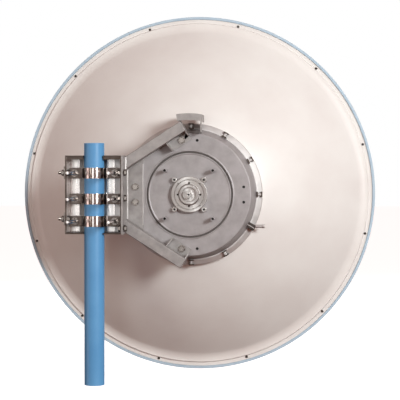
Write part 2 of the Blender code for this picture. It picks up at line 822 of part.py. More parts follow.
def build_studs(shop):
    """Make the six studs, each with a nut on the strap and one on the web."""
    web_front = TRAY_WEB_Y
    web_rear = TRAY_WEB_Y - TRAY_SKIN
    for level, offset in STRAP_OFFSETS.items():
        for column, side in (("left", -1), ("right", 1)):
            x = side * STUD_X
            z = AXIS_Z + offset
            name = "stud_" + level + "_" + column
            end_y = web_front + NUT_THICK + STUD_POINT
            stud = shop.rod(name, (x, STUD_TIP_Y, z), (x, end_y, z), BOLT_RADIUS, 12)
            nuts = (
                ("strap", STRAP_EAR_Y - GAP - NUT_THICK, STRAP_EAR_Y - GAP),
                ("rear", web_rear - GAP - NUT_THICK, web_rear - GAP),
                ("front", web_front + GAP, web_front + GAP + NUT_THICK),
            )
            for place, near, far in nuts:
                label = name + "_nut_" + place
                shop.join(stud, shop.rod(label, (x, near, z), (x, far, z), NUT_RADIUS, 6, helper=True))


def sector(inner, outer, first, last, steps=8):
    """Return the outline of a ring sector about the dish axis, in x and z."""
    outline = []
    for step in range(steps + 1):
        x, z = polar(outer, first + (last - first) * step / steps)
        outline.append((AXIS_X + x, AXIS_Z + z))
    for step in range(steps + 1):
        x, z = polar(inner, last + (first - last) * step / steps)
        outline.append((AXIS_X + x, AXIS_Z + z))
    return outline


def hood_outline(cheek):
    """Return the hood's outline in x and z: an arched band with one cheek."""
    first = HOOD_RIGHT_ANGLE
    last = HOOD_LEFT_ANGLE
    steps = 8
    corners = [polar(HOOD_OUTER, first + (last - first) * step / steps) for step in range(steps + 1)]
    start = first + cheek
    corners += [polar(HOOD_BAND, last + (start - last) * step / steps) for step in range(steps + 1)]
    corners.append(polar(HOOD_CHEEK_INNER, start))
    corners.append(polar(HOOD_CHEEK_INNER, first))
    return [(AXIS_X + x, AXIS_Z + z) for x, z in corners]


def build_hood(shop):
    """Make the arched hood: a curved wall, a rear band and a right cheek."""
    front = RING_Y - GAP
    cheek = math.degrees(HOOD_SKIN / HOOD_OUTER)
    hood = shop.prism("top_hood", hood_outline(cheek), "y", HOOD_REAR_Y, front)
    inside_outline = sector(
        HOOD_BAND - HOOD_SKIN,
        HOOD_OUTER - HOOD_SKIN,
        HOOD_RIGHT_ANGLE + 1.5 * cheek,
        HOOD_LEFT_ANGLE - cheek,
    )
    inside = shop.prism(
        "hood_inside",
        inside_outline,
        "y",
        HOOD_REAR_Y + HOOD_SKIN,
        front + OVERCUT,
        helper=True,
    )
    shop.cut(hood, inside)
    step_start = at_dish(0, HOOD_STEP_Y, 0)
    shop.drill(hood, step_start, at_dish(0, front + OVERCUT, 0), RING_INNER + 3 * GAP, DISH_STEPS)


def build_cleat(shop):
    """Make the small cleat on the lower right of the hub ring."""
    front = RING_Y - GAP
    low = at_dish(CLEAT_LEFT, front - CLEAT_RISE, CLEAT_Z - CLEAT_HEIGHT / 2)
    high = at_dish(CLEAT_RIGHT, front, CLEAT_Z + CLEAT_HEIGHT / 2)
    shop.box("ring_cleat", low, high)


def make_axis(name, place, collection):
    """Return an empty that stands on a joint's axis."""
    empty = bpy.data.objects.new(name, None)
    empty.location = place
    collection.objects.link(empty)
    return empty


def main():
    """Build the whole antenna."""
    clear_scene()
    parts = make_collection("dish_antenna")
    cutters = make_collection("cutters")
    shop = Workshop(parts, cutters)

    pole_axis = make_axis("pole_axis", (0.0, 0.0, 0.0), parts)
    tray_axis = make_axis("azimuth_axis", (0.0, 0.0, AXIS_Z), parts)
    tilt_axis = make_axis("tilt_axis", TILT_AXIS, parts)

    blue_paint = make_material("blue_pole_paint", (0.10, 0.29, 0.55), 0.45, 0.0)
    dish_paint = make_material("cream_dish_paint", (0.70, 0.64, 0.60), 0.40, 0.0)
    trim_blue = make_material("pale_blue_trim", (0.35, 0.55, 0.72), 0.40, 0.0)
    cast = make_material("cast_aluminium", (0.42, 0.41, 0.41), 0.42, 0.9)
    sheet = make_material("bracket_aluminium", (0.45, 0.44, 0.43), 0.38, 0.9)
    galvanised = make_material("tray_steel", (0.50, 0.49, 0.48), 0.35, 0.9)
    polished = make_material("strap_stainless", (0.62, 0.61, 0.60), 0.18, 1.0)
    bolts = make_material("bolt_stainless", (0.40, 0.39, 0.38), 0.30, 1.0)
    feed_metal = make_material("feed_aluminium", (0.55, 0.55, 0.55), 0.30, 0.9)
    feed_plastic = make_material("feed_plastic", (0.80, 0.79, 0.76), 0.45, 0.0)

    shop.use(blue_paint, pole_axis)
    build_pole(shop)

    shop.use(galvanised, tray_axis)
    build_tray(shop)
    shop.use(polished, tray_axis)
    build_straps(shop)
    shop.use(bolts, tray_axis)
    build_studs(shop)
    build_side_bolts(shop)

    shop.use(sheet, tilt_axis)
    build_side_plate(shop)
    build_arm(shop, "arm_upper", 1)
    build_arm(shop, "arm_lower", -1)
    build_foot(shop)
    shop.use(bolts, tilt_axis)
    build_bracket_bolts(shop)

    shop.use(cast, tilt_axis)
    build_hub(shop)
    build_ring(shop)
    build_posts(shop)
    build_hood(shop)
    build_cleat(shop)
    build_feed(shop, feed_plastic, feed_metal)

    shop.use(dish_paint, tilt_axis)
    build_reflector(shop)
    shop.use(trim_blue, tilt_axis)
    build_trim(shop)


main()
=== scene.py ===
"""Looks of a parabolic dish antenna on a pole stub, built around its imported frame.

The frame gives every part's place and size. This script replaces the faceted
parts with finely made ones in the same places, adds the small hardware, and
sets up a pale studio with the camera behind the dish.

Lengths are metres, the dish faces +Y and the pole stands along +Z.
"""

from __future__ import annotations

import logging
import math
from collections.abc import Callable, Sequence
from dataclasses import dataclass, field
from enum import Enum

import bmesh
import bpy
from mathutils import Matrix, Vector

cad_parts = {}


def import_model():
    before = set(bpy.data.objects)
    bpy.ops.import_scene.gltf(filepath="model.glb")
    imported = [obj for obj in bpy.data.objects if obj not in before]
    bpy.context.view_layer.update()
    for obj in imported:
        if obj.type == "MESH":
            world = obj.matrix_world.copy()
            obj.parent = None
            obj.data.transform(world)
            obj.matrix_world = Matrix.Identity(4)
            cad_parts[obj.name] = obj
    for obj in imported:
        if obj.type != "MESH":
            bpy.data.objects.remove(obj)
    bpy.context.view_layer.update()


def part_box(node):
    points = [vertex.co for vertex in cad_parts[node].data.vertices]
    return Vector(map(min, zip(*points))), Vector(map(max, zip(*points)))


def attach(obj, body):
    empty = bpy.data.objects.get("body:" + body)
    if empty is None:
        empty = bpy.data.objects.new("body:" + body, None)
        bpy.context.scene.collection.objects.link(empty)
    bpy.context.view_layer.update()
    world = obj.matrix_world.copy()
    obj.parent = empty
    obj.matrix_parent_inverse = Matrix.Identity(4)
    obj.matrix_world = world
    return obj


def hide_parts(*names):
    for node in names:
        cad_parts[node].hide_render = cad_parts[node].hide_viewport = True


LOG = logging.getLogger("antenna")
MM = 0.001
# Points closer than this are one point
MERGE = 0.00001
# How far a cutter stands past the metal that it cuts
PAST = 0.02
# Out of the hub and the clamp, away from the bowl
BACK = (0.0, -1.0, 0.0)


class Body(Enum):
    """The bodies that pieces ride on."""

    POLE = "pole"
    CLAMP = "clamp"
    ANTENNA = "antenna"


class Slot(Enum):
    """The record's material slots."""

    POLE = "pole_paint"
    DISH = "dish_paint"
    TRIM = "trim_paint"
    CASTING = "cast_aluminium"
    BRACKET = "bracket_aluminium"
    TRAY = "tray_steel"
    STRAP = "strap_steel"
    BOLT = "bolt_steel"
    FEED_METAL = "feed_aluminium"
    FEED_PLASTIC = "feed_plastic"


class Axis(Enum):
    """The line that a turned piece is turned about, and where its profile is drawn."""

    X = ((1.0, 0.0, 0.0), (0.0, 1.0, 0.0))
    Y = ((0.0, 1.0, 0.0), (1.0, 0.0, 0.0))
    Z = ((0.0, 0.0, 1.0), (1.0, 0.0, 0.0))

    @property
    def along(self) -> Vector:
        """The direction of the axis."""
        return Vector(self.value[0])

    @property
    def across(self) -> Vector:
        """The direction in which radii are measured when the profile is drawn."""
        return Vector(self.value[1])


# Selecting and editing


def only(obj: bpy.types.Object | None) -> None:
    """Leave edit mode and select one object alone, or nothing.

    Args:
        obj: The object to select and make active, or None.
    """
    current = bpy.context.object
    if current is not None and current.mode != "OBJECT":
        bpy.ops.object.mode_set(mode="OBJECT")
    bpy.ops.object.select_all(action="DESELECT")
    if obj is not None:
        obj.select_set(True)
        bpy.context.view_layer.objects.active = obj


def settle(obj: bpy.types.Object) -> bpy.types.Object:
    """Put the object's place, turn and scale into its mesh.

    Args:
        obj: The object to settle.

    Returns:
        The same object, now at the origin.
    """
    only(obj)
    bpy.ops.object.transform_apply(location=True, rotation=True, scale=True)
    return obj


def modify(obj: bpy.types.Object, kind: str, **settings: object) -> bpy.types.Object:
    """Add a modifier and apply it.

    Args:
        obj: The object to change.
        kind: The modifier's type.
        settings: Its values by name.

    Returns:
        The same object.
    """
    only(obj)
    modifier = obj.modifiers.new(kind, kind)
    for name, value in settings.items():
        setattr(modifier, name, value)
    bpy.ops.object.modifier_apply(modifier=modifier.name)
    return obj


def pick(obj: bpy.types.Object, part: str, wanted: Callable[[bmesh.types.BMFace], bool]) -> int:
    """Go into edit mode and select only the faces or edges that pass a test.

    Args:
        obj: The object to edit.
        part: "FACE" or "EDGE".
        wanted: The test, given each face or edge.

    Returns:
        How many were selected.
    """
    only(obj)
    bpy.ops.object.mode_set(mode="EDIT")
    bpy.ops.mesh.select_mode(type=part)
    bpy.ops.mesh.select_all(action="DESELECT")
    mesh = bmesh.from_edit_mesh(obj.data)
    found = [item for item in (mesh.faces if part == "FACE" else mesh.edges) if wanted(item)]
    for item in found:
        item.select_set(True)
    bmesh.update_edit_mesh(obj.data)
    return len(found)


def extrude(way: Sequence[float]) -> None:
    """Extrude what is selected in edit mode, along a direction with a length."""
    bpy.ops.mesh.extrude_region_move(TRANSFORM_OT_translate={"value": way})


def close_mesh() -> None:
    """Turn all faces outward and leave edit mode."""
    bpy.ops.mesh.select_all(action="SELECT")
    bpy.ops.mesh.normals_make_consistent(inside=False)
    bpy.ops.object.mode_set(mode="OBJECT")


def shade(obj: bpy.types.Object, degrees: float = 32.0) -> bpy.types.Object:
    """Shade smooth, with sharp corners kept and flat faces flat up to their roundings.

    Args:
        obj: The object to shade.
        degrees: The angle past which an edge stays sharp.

    Returns:
        The same object.
    """
    only(obj)
    bpy.ops.object.shade_smooth_by_angle(angle=math.radians(degrees))
    return modify(obj, "WEIGHTED_NORMAL", keep_sharp=True)


def soften(
    obj: bpy.types.Object,
    width: float,
    segments: int = 2,
    degrees: float = 38.0,
) -> bpy.types.Object:
    """Round the object's corners and shade it smooth.

    Args:
        obj: The object to round.
        width: The width of the rounding.
        segments: How many faces make the rounding.
        degrees: Corners sharper than this angle are rounded.

    Returns:
        The same object.
    """
    modify(
        obj,
        "BEVEL",
        width=width,
        segments=segments,
        limit_method="ANGLE",
        angle_limit=math.radians(degrees),
    )
    return shade(obj)


def combine(obj: bpy.types.Object, others: Sequence[bpy.types.Object], operation: str) -> bpy.types.Object:
    """Cut, unite or intersect an object with others, which are used up.

    Args:
        obj: The object that stays.
        others: The objects to combine it with.
        operation: "DIFFERENCE", "UNION" or "INTERSECT".

    Returns:
        The object that stays.
    """
    for other in others:
        modify(obj, "BOOLEAN", object=other, operation=operation, solver="EXACT")
        bpy.data.objects.remove(other, do_unlink=True)
    return obj


def merge(name: str, parts: Sequence[bpy.types.Object]) -> bpy.types.Object:
    """Join finished objects into one piece.

    Args:
        name: The piece's name.
        parts: The objects to join.

    Returns:
        The joined object.
    """
    only(parts[0])
    for part in parts:
        part.select_set(True)
    if len(parts) > 1:
        bpy.ops.object.join()
    return named(bpy.context.object, name)


def named(obj: bpy.types.Object, name: str) -> bpy.types.Object:
    """Name an object and its mesh."""
    obj.name = name
    obj.data.name = name
    return obj


def duplicate(obj: bpy.types.Object, name: str, matrix: Matrix) -> bpy.types.Object:
    """Copy an object with its own mesh, moved by a matrix.

    Args:
        obj: The object to copy.
        name: The copy's name.
        matrix: Where the copy goes.

    Returns:
        The copy, with its place in its mesh.
    """
    copy = obj.copy()
    copy.data = obj.data.copy()
    bpy.context.scene.collection.objects.link(copy)
    copy.matrix_world = matrix @ obj.matrix_world
    return settle(named(copy, name))


def discard(*objects: bpy.types.Object) -> None:
    """Remove patterns that have been copied."""
    for obj in objects:
        bpy.data.objects.remove(obj, do_unlink=True)


# Making shapes


def block(name: str, low: Sequence[float], high: Sequence[float]) -> bpy.types.Object:
    """Make a box between two corners.

    Args:
        name: The object's name.
        low: The lowest corner.
        high: The highest corner.

    Returns:
        The box.
    """
    only(None)
    low, high = Vector(low), Vector(high)
    bpy.ops.mesh.primitive_cube_add(size=1.0, location=(low + high) / 2)
    obj = named(bpy.context.object, name)
    obj.scale = high - low
    return settle(obj)


def bar(
    name: str,
    start: Sequence[float],
    end: Sequence[float],
    radius: float,
    sides: int = 32,
) -> bpy.types.Object:
    """Make a round or many-sided bar from one point to another.

    Args:
        name: The object's name.
        start: The middle of one end.
        end: The middle of the other end.
        radius: The bar's radius, to its corners.
        sides: How many sides it has.

    Returns:
        The bar.
    """
    only(None)
    start, end = Vector(start), Vector(end)
    bpy.ops.mesh.primitive_cylinder_add(
        vertices=sides,
        radius=radius,
        depth=(end - start).length,
        location=(start + end) / 2,
        rotation=(end - start).to_track_quat("Z", "Y").to_euler(),
    )
    return settle(named(bpy.context.object, name))


def draw(name: str, points: Sequence[Vector], closed: bool) -> bpy.types.Object:
    """Draw a line from point to point by extruding one vertex, and stay in edit mode.

    Args:
        name: The object's name.
        points: The line's corners.
        closed: Whether the line returns to its first point.

    Returns:
        The line, with all of it selected.
    """
    only(None)
    bpy.ops.mesh.primitive_plane_add(size=MM, location=points[0])
    obj = settle(named(bpy.context.object, name))
    bpy.ops.object.mode_set(mode="EDIT")
    bpy.ops.mesh.select_mode(type="VERT")
    bpy.ops.mesh.select_all(action="SELECT")
    bpy.ops.mesh.merge(type="CENTER")
    route = list(points) + ([points[0]] if closed else [])
    for before, after in zip(route, route[1:]):
        extrude(after - before)
    bpy.ops.mesh.select_all(action="SELECT")
    bpy.ops.mesh.remove_doubles(threshold=MERGE)
    return obj


def turned(
    name: str,
    profile: Sequence[tuple[float, float]],
    centre: Vector,
    axis: Axis,
    steps: int = 128,
    closed: bool = True,
) -> bpy.types.Object:
    """Draw a section and spin it about an axis.

    Args:
        name: The object's name.
        profile: Radius and height of each corner of the section.
        centre: A point on the axis. Heights are measured from the origin.
        axis: The direction of the axis.
        steps: How many faces go round.
        closed: Whether the section is a closed line.

    Returns:
        The turned solid.
    """
    base = centre - axis.along * centre.dot(axis.along)
    points = [base + axis.across * radius + axis.along * height for radius, height in profile]
    obj = draw(name, points, closed)
    bpy.ops.mesh.spin(steps=steps, angle=math.tau, center=base, axis=axis.along)
    bpy.ops.mesh.select_all(action="SELECT")
    bpy.ops.mesh.remove_doubles(threshold=MERGE)
    close_mesh()
    return obj


def prism(name: str, outline: Sequence[Vector], along: Vector) -> bpy.types.Object:
    """Draw a closed outline, fill it and extrude it.

    Args:
        name: The object's name.
        outline: The corners of the outline, in one plane.
        along: How far and in which direction it is extruded.

    Returns:
        The solid.
    """
    obj = draw(name, outline, True)
    bpy.ops.mesh.edge_face_add()
    extrude(along)
    close_mesh()
    return obj


def ribbon(name: str, line: Sequence[Vector], width: Vector, thickness: float) -> bpy.types.Object:
    """Bend a strip of sheet along a line.

    Args:
        name: The object's name.
        line: The line that the strip's inner face follows.
        width: The strip's width, as a direction with a length.
        thickness: The sheet's thickness, added on the line's right as seen along the width.

    Returns:
        The bent strip.
    """
    obj = draw(name, line, False)
    extrude(width)
    bpy.ops.mesh.select_all(action="SELECT")
    bpy.ops.object.mode_set(mode="OBJECT")
    modify(obj, "SOLIDIFY", thickness=thickness, offset=-1.0, use_even_offset=True)
    pick(obj, "FACE", lambda face: True)
    close_mesh()
    return obj


def arc(radius: float, first: float, last: float, steps: int) -> list[tuple[float, float]]:
    """Return points on an arc about the origin.

    Args:
        radius: The arc's radius.
        first: The first angle in degrees.
        last: The last angle in degrees.
        steps: How many chords it has.

    Returns:
        The points as pairs.
    """
    angles = [math.radians(first + (last - first) * step / steps) for step in range(steps + 1)]
    return [(radius * math.cos(angle), radius * math.sin(angle)) for angle in angles]


def eased(
    corners: Sequence[tuple[float, float, float]],
    closed: bool = True,
    steps: int = 4,
) -> list[tuple[float, float]]:
    """Round the corners of a section.

    Args:
        corners: Each corner's two coordinates and how far from it the rounding starts.
        closed: Whether the section returns to its first corner.
        steps: How many chords each rounding has.

    Returns:
        The rounded section.
    """
    points: list[tuple[float, float]] = []
    count = len(corners)
    for index, (first, second, ease) in enumerate(corners):
        corner = Vector((first, second))
        inside = closed or 0 < index < count - 1
        if not ease or not inside:
            points.append((first, second))
            continue
        before = Vector(corners[index - 1][:2])
        after = Vector(corners[(index + 1) % count][:2])
        start = corner + (before - corner).normalized() * ease
        end = corner + (after - corner).normalized() * ease
        for step in range(steps + 1):
            part = step / steps
            place = start * (1 - part) ** 2 + corner * 2 * part * (1 - part) + end * part**2
            points.append((place.x, place.y))
    return points


def lathe(
    name: str,
    corners: Sequence[tuple[float, float, float]],
    centre: Vector,
    axis: Axis,
    steps: int,
    closed: bool = True,
    degrees: float = 32.0,
) -> bpy.types.Object:
    """Turn a section with rounded corners, and shade it smooth.

    Args:
        name: The object's name.
        corners: Radius, height and rounding of each corner of the section.
        centre: A point on the axis.
        axis: The direction of the axis.
        steps: How many faces go round.
        closed: Whether the section is a closed line, or runs from the axis to the axis.
        degrees: The angle past which an edge stays sharp.

    Returns:
        The turned solid.
    """
    return shade(turned(name, eased(corners, closed), centre, axis, steps, closed), degrees)


def bore_plug(radius: float) -> bpy.types.Object:
    """Make the dark bottom of a drilled hole, with its face at the origin and its tip along +Y."""
    profile = [(0.0, 0.0), (radius, 0.0), (radius, MM), (0.0, 2 * MM)]
    return turned("bore_pattern", profile, Vector(), Axis.Y, 20, closed=False)


def facing(place: Vector, out: Sequence[float]) -> Matrix:
    """Return the matrix that puts a pattern at a place with its +Z along out."""
    return Matrix.Translation(place) @ Vector(out).to_track_quat("Z", "Y").to_matrix().to_4x4()


# Materials


def linear(code: str) -> tuple[float, float, float, float]:
    """Turn an sRGB hex colour to linear values with an alpha of one."""
    parts = [int(code[index : index + 2], 16) / 255 for index in (1, 3, 5)]
    curve = [part / 12.92 if part <= 0.04045 else ((part + 0.055) / 1.055) ** 2.4 for part in parts]
    return curve[0], curve[1], curve[2], 1.0


def add_node(
    tree: bpy.types.NodeTree,
    kind: str,
    settings: dict[str, object] | None = None,
    inputs: dict[str | int, object] | None = None,
) -> bpy.types.Node:
    """Add a node with its settings and links.

    Args:
        tree: The node tree.
        kind: The node's type.
        settings: The node's own values by name.
        inputs: A value or another node's output for each input, by name or number.

    Returns:
        The node.
    """
    node = tree.nodes.new(kind)
    for name, value in (settings or {}).items():
        setattr(node, name, value)
    for key, value in (inputs or {}).items():
        if isinstance(value, bpy.types.NodeSocket):
            tree.links.new(value, node.inputs[key])
        else:
            node.inputs[key].default_value = value
    return node


@dataclass(frozen=True)
class Finish:
    """A surface: what it is made of and how it was worked.

    The colour wanders between two tones in blotches, the roughness wanders
    with it, and a fine grain stands proud by a set depth. Sizes are in
    millimetres on the real surface.
    """

    name: str
    light: str
    dark: str
    smooth: float
    rough: float
    metallic: float = 0.0
    blotch_mm: float = 40.0
    grain_mm: float = 2.0
    grain_depth_mm: float = 0.05
    stretch: tuple[float, float, float] = (1.0, 1.0, 1.0)
    ring_mm: float = 0.0
    centre: tuple[float, float, float] = (0.0, 0.0, 0.0)
    grain_about: str = ""
    directed: float = 0.0
    turned_quarter: float = 0.0
    sheen: float = 0.0

    def material(self) -> bpy.types.Material:
        """Return the material, made the first time it is asked for."""
        return bpy.data.materials.get(self.name) or self.make()

    def make(self) -> bpy.types.Material:
        """Build the node tree.

        Returns:
            The new material.
        """
        made = bpy.data.materials.new(self.name)
        made.use_nodes = True
        tree = made.node_tree
        shader = tree.nodes["Principled BSDF"]
        place = add_node(tree, "ShaderNodeTexCoord").outputs["Object"]
        moved = add_node(
            tree,
            "ShaderNodeMapping",
            inputs={"Vector": place, "Location": tuple(-value for value in self.centre)},
        ).outputs["Vector"]
        drawn = add_node(
            tree,
            "ShaderNodeMapping",
            inputs={"Vector": moved, "Scale": self.stretch},
        ).outputs["Vector"]
        blotch = self.noise(tree, drawn, self.blotch_mm, 4.0)
        grain = self.noise(tree, drawn, self.grain_mm, 2.0)
        if self.ring_mm:
            grain = self.turning_marks(tree, moved)
        tones = add_node(
            tree,
            "ShaderNodeMix",
            {"data_type": "RGBA"},
            {0: self.spread(tree, blotch, 0.0, 1.0), 6: linear(self.dark), 7: linear(self.light)},
        )
        mixed = add_node(
            tree,
            "ShaderNodeMath",
            {"operation": "MULTIPLY_ADD"},
            {0: grain, 1: 0.35, 2: self.spread(tree, blotch, 0.0, 0.65)},
        )
        relief = add_node(
            tree,
            "ShaderNodeBump",
            inputs={"Height": grain, "Distance": self.grain_depth_mm * MM, "Strength": 1.0},
        )
        worn = self.spread(tree, mixed.outputs[0], self.smooth, self.rough)
        tree.links.new(tones.outputs[2], shader.inputs["Base Color"])
        tree.links.new(worn, shader.inputs["Roughness"])
        tree.links.new(relief.outputs["Normal"], shader.inputs["Normal"])
        shader.inputs["Metallic"].default_value = self.metallic
        shader.inputs["Sheen Weight"].default_value = self.sheen
        shader.inputs["Sheen Tint"].default_value = linear(self.light)
        if self.grain_about:
            settings = {"direction_type": "RADIAL", "axis": self.grain_about}
            around = add_node(tree, "ShaderNodeTangent", settings)
            tree.links.new(around.outputs["Tangent"], shader.inputs["Tangent"])
            shader.inputs["Anisotropic"].default_value = self.directed
            shader.inputs["Anisotropic Rotation"].default_value = self.turned_quarter
        return made

    def noise(
        self,
        tree: bpy.types.NodeTree,
        place: bpy.types.NodeSocket,
        size_mm: float,
        detail: float,
    ) -> bpy.types.NodeSocket:
        """Return noise whose features have a size in millimetres.

        Args:
            tree: The node tree.
            place: The coordinates.
            size_mm: The size of a feature.
            detail: How many finer layers it has.

        Returns:
            The noise's value.
        """
        inputs = {"Vector": place, "Scale": 1.0 / (size_mm * MM), "Detail": detail, "Roughness": 0.55}
        return add_node(tree, "ShaderNodeTexNoise", inputs=inputs).outputs["Fac"]

    def turning_marks(self, tree: bpy.types.NodeTree, place: bpy.types.NodeSocket) -> bpy.types.NodeSocket:
        """Return uneven rings about the Y line through the finish's centre.

        Args:
            tree: The node tree.
            place: The coordinates, measured from the centre.

        Returns:
            The height of the marks.
        """
        flat = add_node(
            tree,
            "ShaderNodeVectorMath",
            {"operation": "MULTIPLY"},
            {0: place, 1: (1.0, 0.0, 1.0)},
        ).outputs["Vector"]
        radius = add_node(tree, "ShaderNodeVectorMath", {"operation": "LENGTH"}, {0: flat}).outputs["Value"]
        inputs = {"W": radius, "Scale": 1.0 / (self.ring_mm * MM), "Detail": 3.0, "Roughness": 0.6}
        return add_node(tree, "ShaderNodeTexNoise", {"noise_dimensions": "1D"}, inputs).outputs["Fac"]

    def spread(
        self,
        tree: bpy.types.NodeTree,
        value: bpy.types.NodeSocket,
        low: float,
        high: float,
    ) -> bpy.types.NodeSocket:
        """Stretch the middle of a noise value over a range.

        Args:
            tree: The node tree.
            value: The noise.
            low: What 0.3 becomes.
            high: What 0.7 becomes.

        Returns:
            The new value.
        """
        inputs = {"Value": value, "From Min": 0.3, "From Max": 0.7, "To Min": low, "To Max": high}
        return add_node(tree, "ShaderNodeMapRange", inputs=inputs).outputs["Result"]


def dish_axis() -> Vector:
    """Return where the dish axis crosses the plane y = 0."""
    low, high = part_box("rim_trim")
    return Vector(((low.x + high.x) / 2, 0.0, (low.z + high.z) / 2))


def make_finishes(axis: Vector) -> dict[str, Finish]:
    """Return the finishes by name.

    Args:
        axis: A point on the dish axis, for the turned and spun surfaces.

    Returns:
        The finishes.
    """
    centre = tuple(axis)
    return {
        # Satin blue powder coat on galvanised tube: even, with a fine orange peel
        "pole": Finish(
            "blue_powder_coat", "#62A2D4", "#5A99CC", 0.34, 0.46,
            grain_mm=1.6, grain_depth_mm=0.02, blotch_mm=90.0, sheen=0.5,
        ),
        # Off-white polyester coat on spun aluminium: soft sheen, faint spinning rings
        "dish": Finish(
            "off_white_polyester_coat", "#EFEBE7", "#E9E3DF", 0.40, 0.52,
            blotch_mm=160.0, ring_mm=9.0, grain_depth_mm=0.03, centre=centre,
        ),
        # Pale blue coated edge trim
        "trim": Finish(
            "pale_blue_coated_trim", "#BCD0DE", "#B2C8D9", 0.36, 0.48,
            grain_mm=1.6, grain_depth_mm=0.02,
        ),
        # Sand cast aluminium, blasted: grey, faintly mottled, dull grain
        "cast": Finish(
            "sand_cast_aluminium", "#B4AFB0", "#A19C9C", 0.44, 0.56,
            metallic=0.35, blotch_mm=34.0, grain_mm=1.6, grain_depth_mm=0.03,
        ),
        # The casting's machined rim: the same alloy, cut clean and bright. It is also painted light: on the
        # strip by the tray's right wall, which the side plate shades, and as painted highlights on the foot
        # weld, the upper weld and the foot's rolled edge
        "bright_cut_and_painted_light": Finish(
            "machined_cast_rim", "#DAD6D4", "#C9C4C2", 0.34, 0.46,
            metallic=0.7, blotch_mm=30.0, grain_mm=1.2, grain_depth_mm=0.02,
        ),
        # The seat ring: aluminium blasted with fine beads, pale and evenly matt
        "seat": Finish(
            "bead_blasted_ring", "#DCD8D6", "#CBC7C5", 0.48, 0.58,
            metallic=0.5, blotch_mm=30.0, grain_mm=1.2, grain_depth_mm=0.02,
        ),
        # Grey rubber cord in the hub's groove: dull, nearly no highlight. Its dark grey is also painted
        # shade on the groove's floor
        "cord_and_painted_groove_shade": Finish(
            "grey_rubber_cord", "#736D69", "#605A56", 0.55, 0.7,
            blotch_mm=8.0, grain_mm=0.6,
        ),
        # The same casting alloy on the bracket, with a rougher skin. It is also painted shade: on the
        # darker sheet behind the pole in the tray, and on the lower weld bead
        "bracket": Finish(
            "blasted_bracket_casting", "#B4AFAD", "#96918F", 0.38, 0.54,
            metallic=0.45, blotch_mm=26.0, grain_mm=1.8, grain_depth_mm=0.05,
        ),
        # Hot rolled stainless frame of the tray: pickled, brown-grey and dull
        "frame": Finish(
            "pickled_stainless", "#6F655F", "#554C47", 0.34, 0.48,
            metallic=1.0, blotch_mm=40.0, grain_mm=1.2, grain_depth_mm=0.02,
        ),
        # The backing plates of the same steel, scuffed by the nuts to a lighter grey
        "backing": Finish(
            "scuffed_backing_plate", "#7A706B", "#605752", 0.34, 0.5,
            metallic=1.0, blotch_mm=12.0, grain_mm=1.2, grain_depth_mm=0.03,
        ),
        # Bright rolled stainless on the facing sheets: it mirrors a lamp, with faint upright streaks. On
        # the left wall's inner face it is painted light, where the key light falls
        "facing": Finish(
            "bright_rolled_facing", "#FBF6F3", "#EDE5E1", 0.20, 0.32,
            metallic=0.8, blotch_mm=16.0, grain_mm=4.0, grain_depth_mm=0.01,
            stretch=(1.0, 1.0, 0.03), grain_about="Z", directed=0.5, turned_quarter=0.25,
        ),
        # Polished stainless strap: ground along its length, so lights stretch across it
        "strap": Finish(
            "polished_stainless_strap", "#E6E0DC", "#CFC8C4", 0.14, 0.24,
            metallic=1.0, blotch_mm=14.0, grain_mm=2.4, grain_depth_mm=0.008,
            stretch=(1.0, 1.0, 0.04), grain_about="Z", directed=0.85, turned_quarter=0.25,
        ),
        # Plain stainless fasteners with rolled threads, darkened by grease
        "bolt": Finish(
            "stainless_fastener", "#A29A95", "#665E59", 0.18, 0.32,
            metallic=1.0, blotch_mm=6.0, grain_mm=0.7, grain_depth_mm=0.02,
        ),
        # Bright zinc on the threaded rods: shiny, so a light draws one line along each
        "rod": Finish(
            "bright_zinc_rod", "#E6E1DE", "#C6BFBB", 0.16, 0.28,
            metallic=1.0, blotch_mm=8.0, grain_mm=0.7, grain_depth_mm=0.01,
        ),
        # Phosphated spring steel of the small clips: brown-black, faintly shiny
        "spring": Finish(
            "phosphated_spring_steel", "#5E5652", "#3F3935", 0.34, 0.5,
            metallic=0.8, blotch_mm=5.0, grain_mm=0.7, grain_depth_mm=0.02,
        ),
        # Turned aluminium: bright, with lathe rings that spread a light into a fan
        "turned": Finish(
            "turned_aluminium", "#CBC7C4", "#B3AEAB", 0.32, 0.44,
            metallic=0.85, blotch_mm=14.0, grain_mm=1.0, grain_depth_mm=0.01,
            grain_about="Y", directed=0.75, turned_quarter=0.0, centre=centre,
        ),
        # Moulded polystyrene of the feed's cone
        "plastic": Finish(
            "moulded_polystyrene", "#E4E1D6", "#DBD7CB", 0.34, 0.48,
            grain_mm=0.8, grain_depth_mm=0.02,
        ),
        # Cutting oil and shadow inside tapped holes
        "bore": Finish(
            "dark_tapped_bore", "#1B1917", "#100F0E", 0.5, 0.7,
            blotch_mm=4.0, grain_mm=0.5,
        ),
    }


# The parts


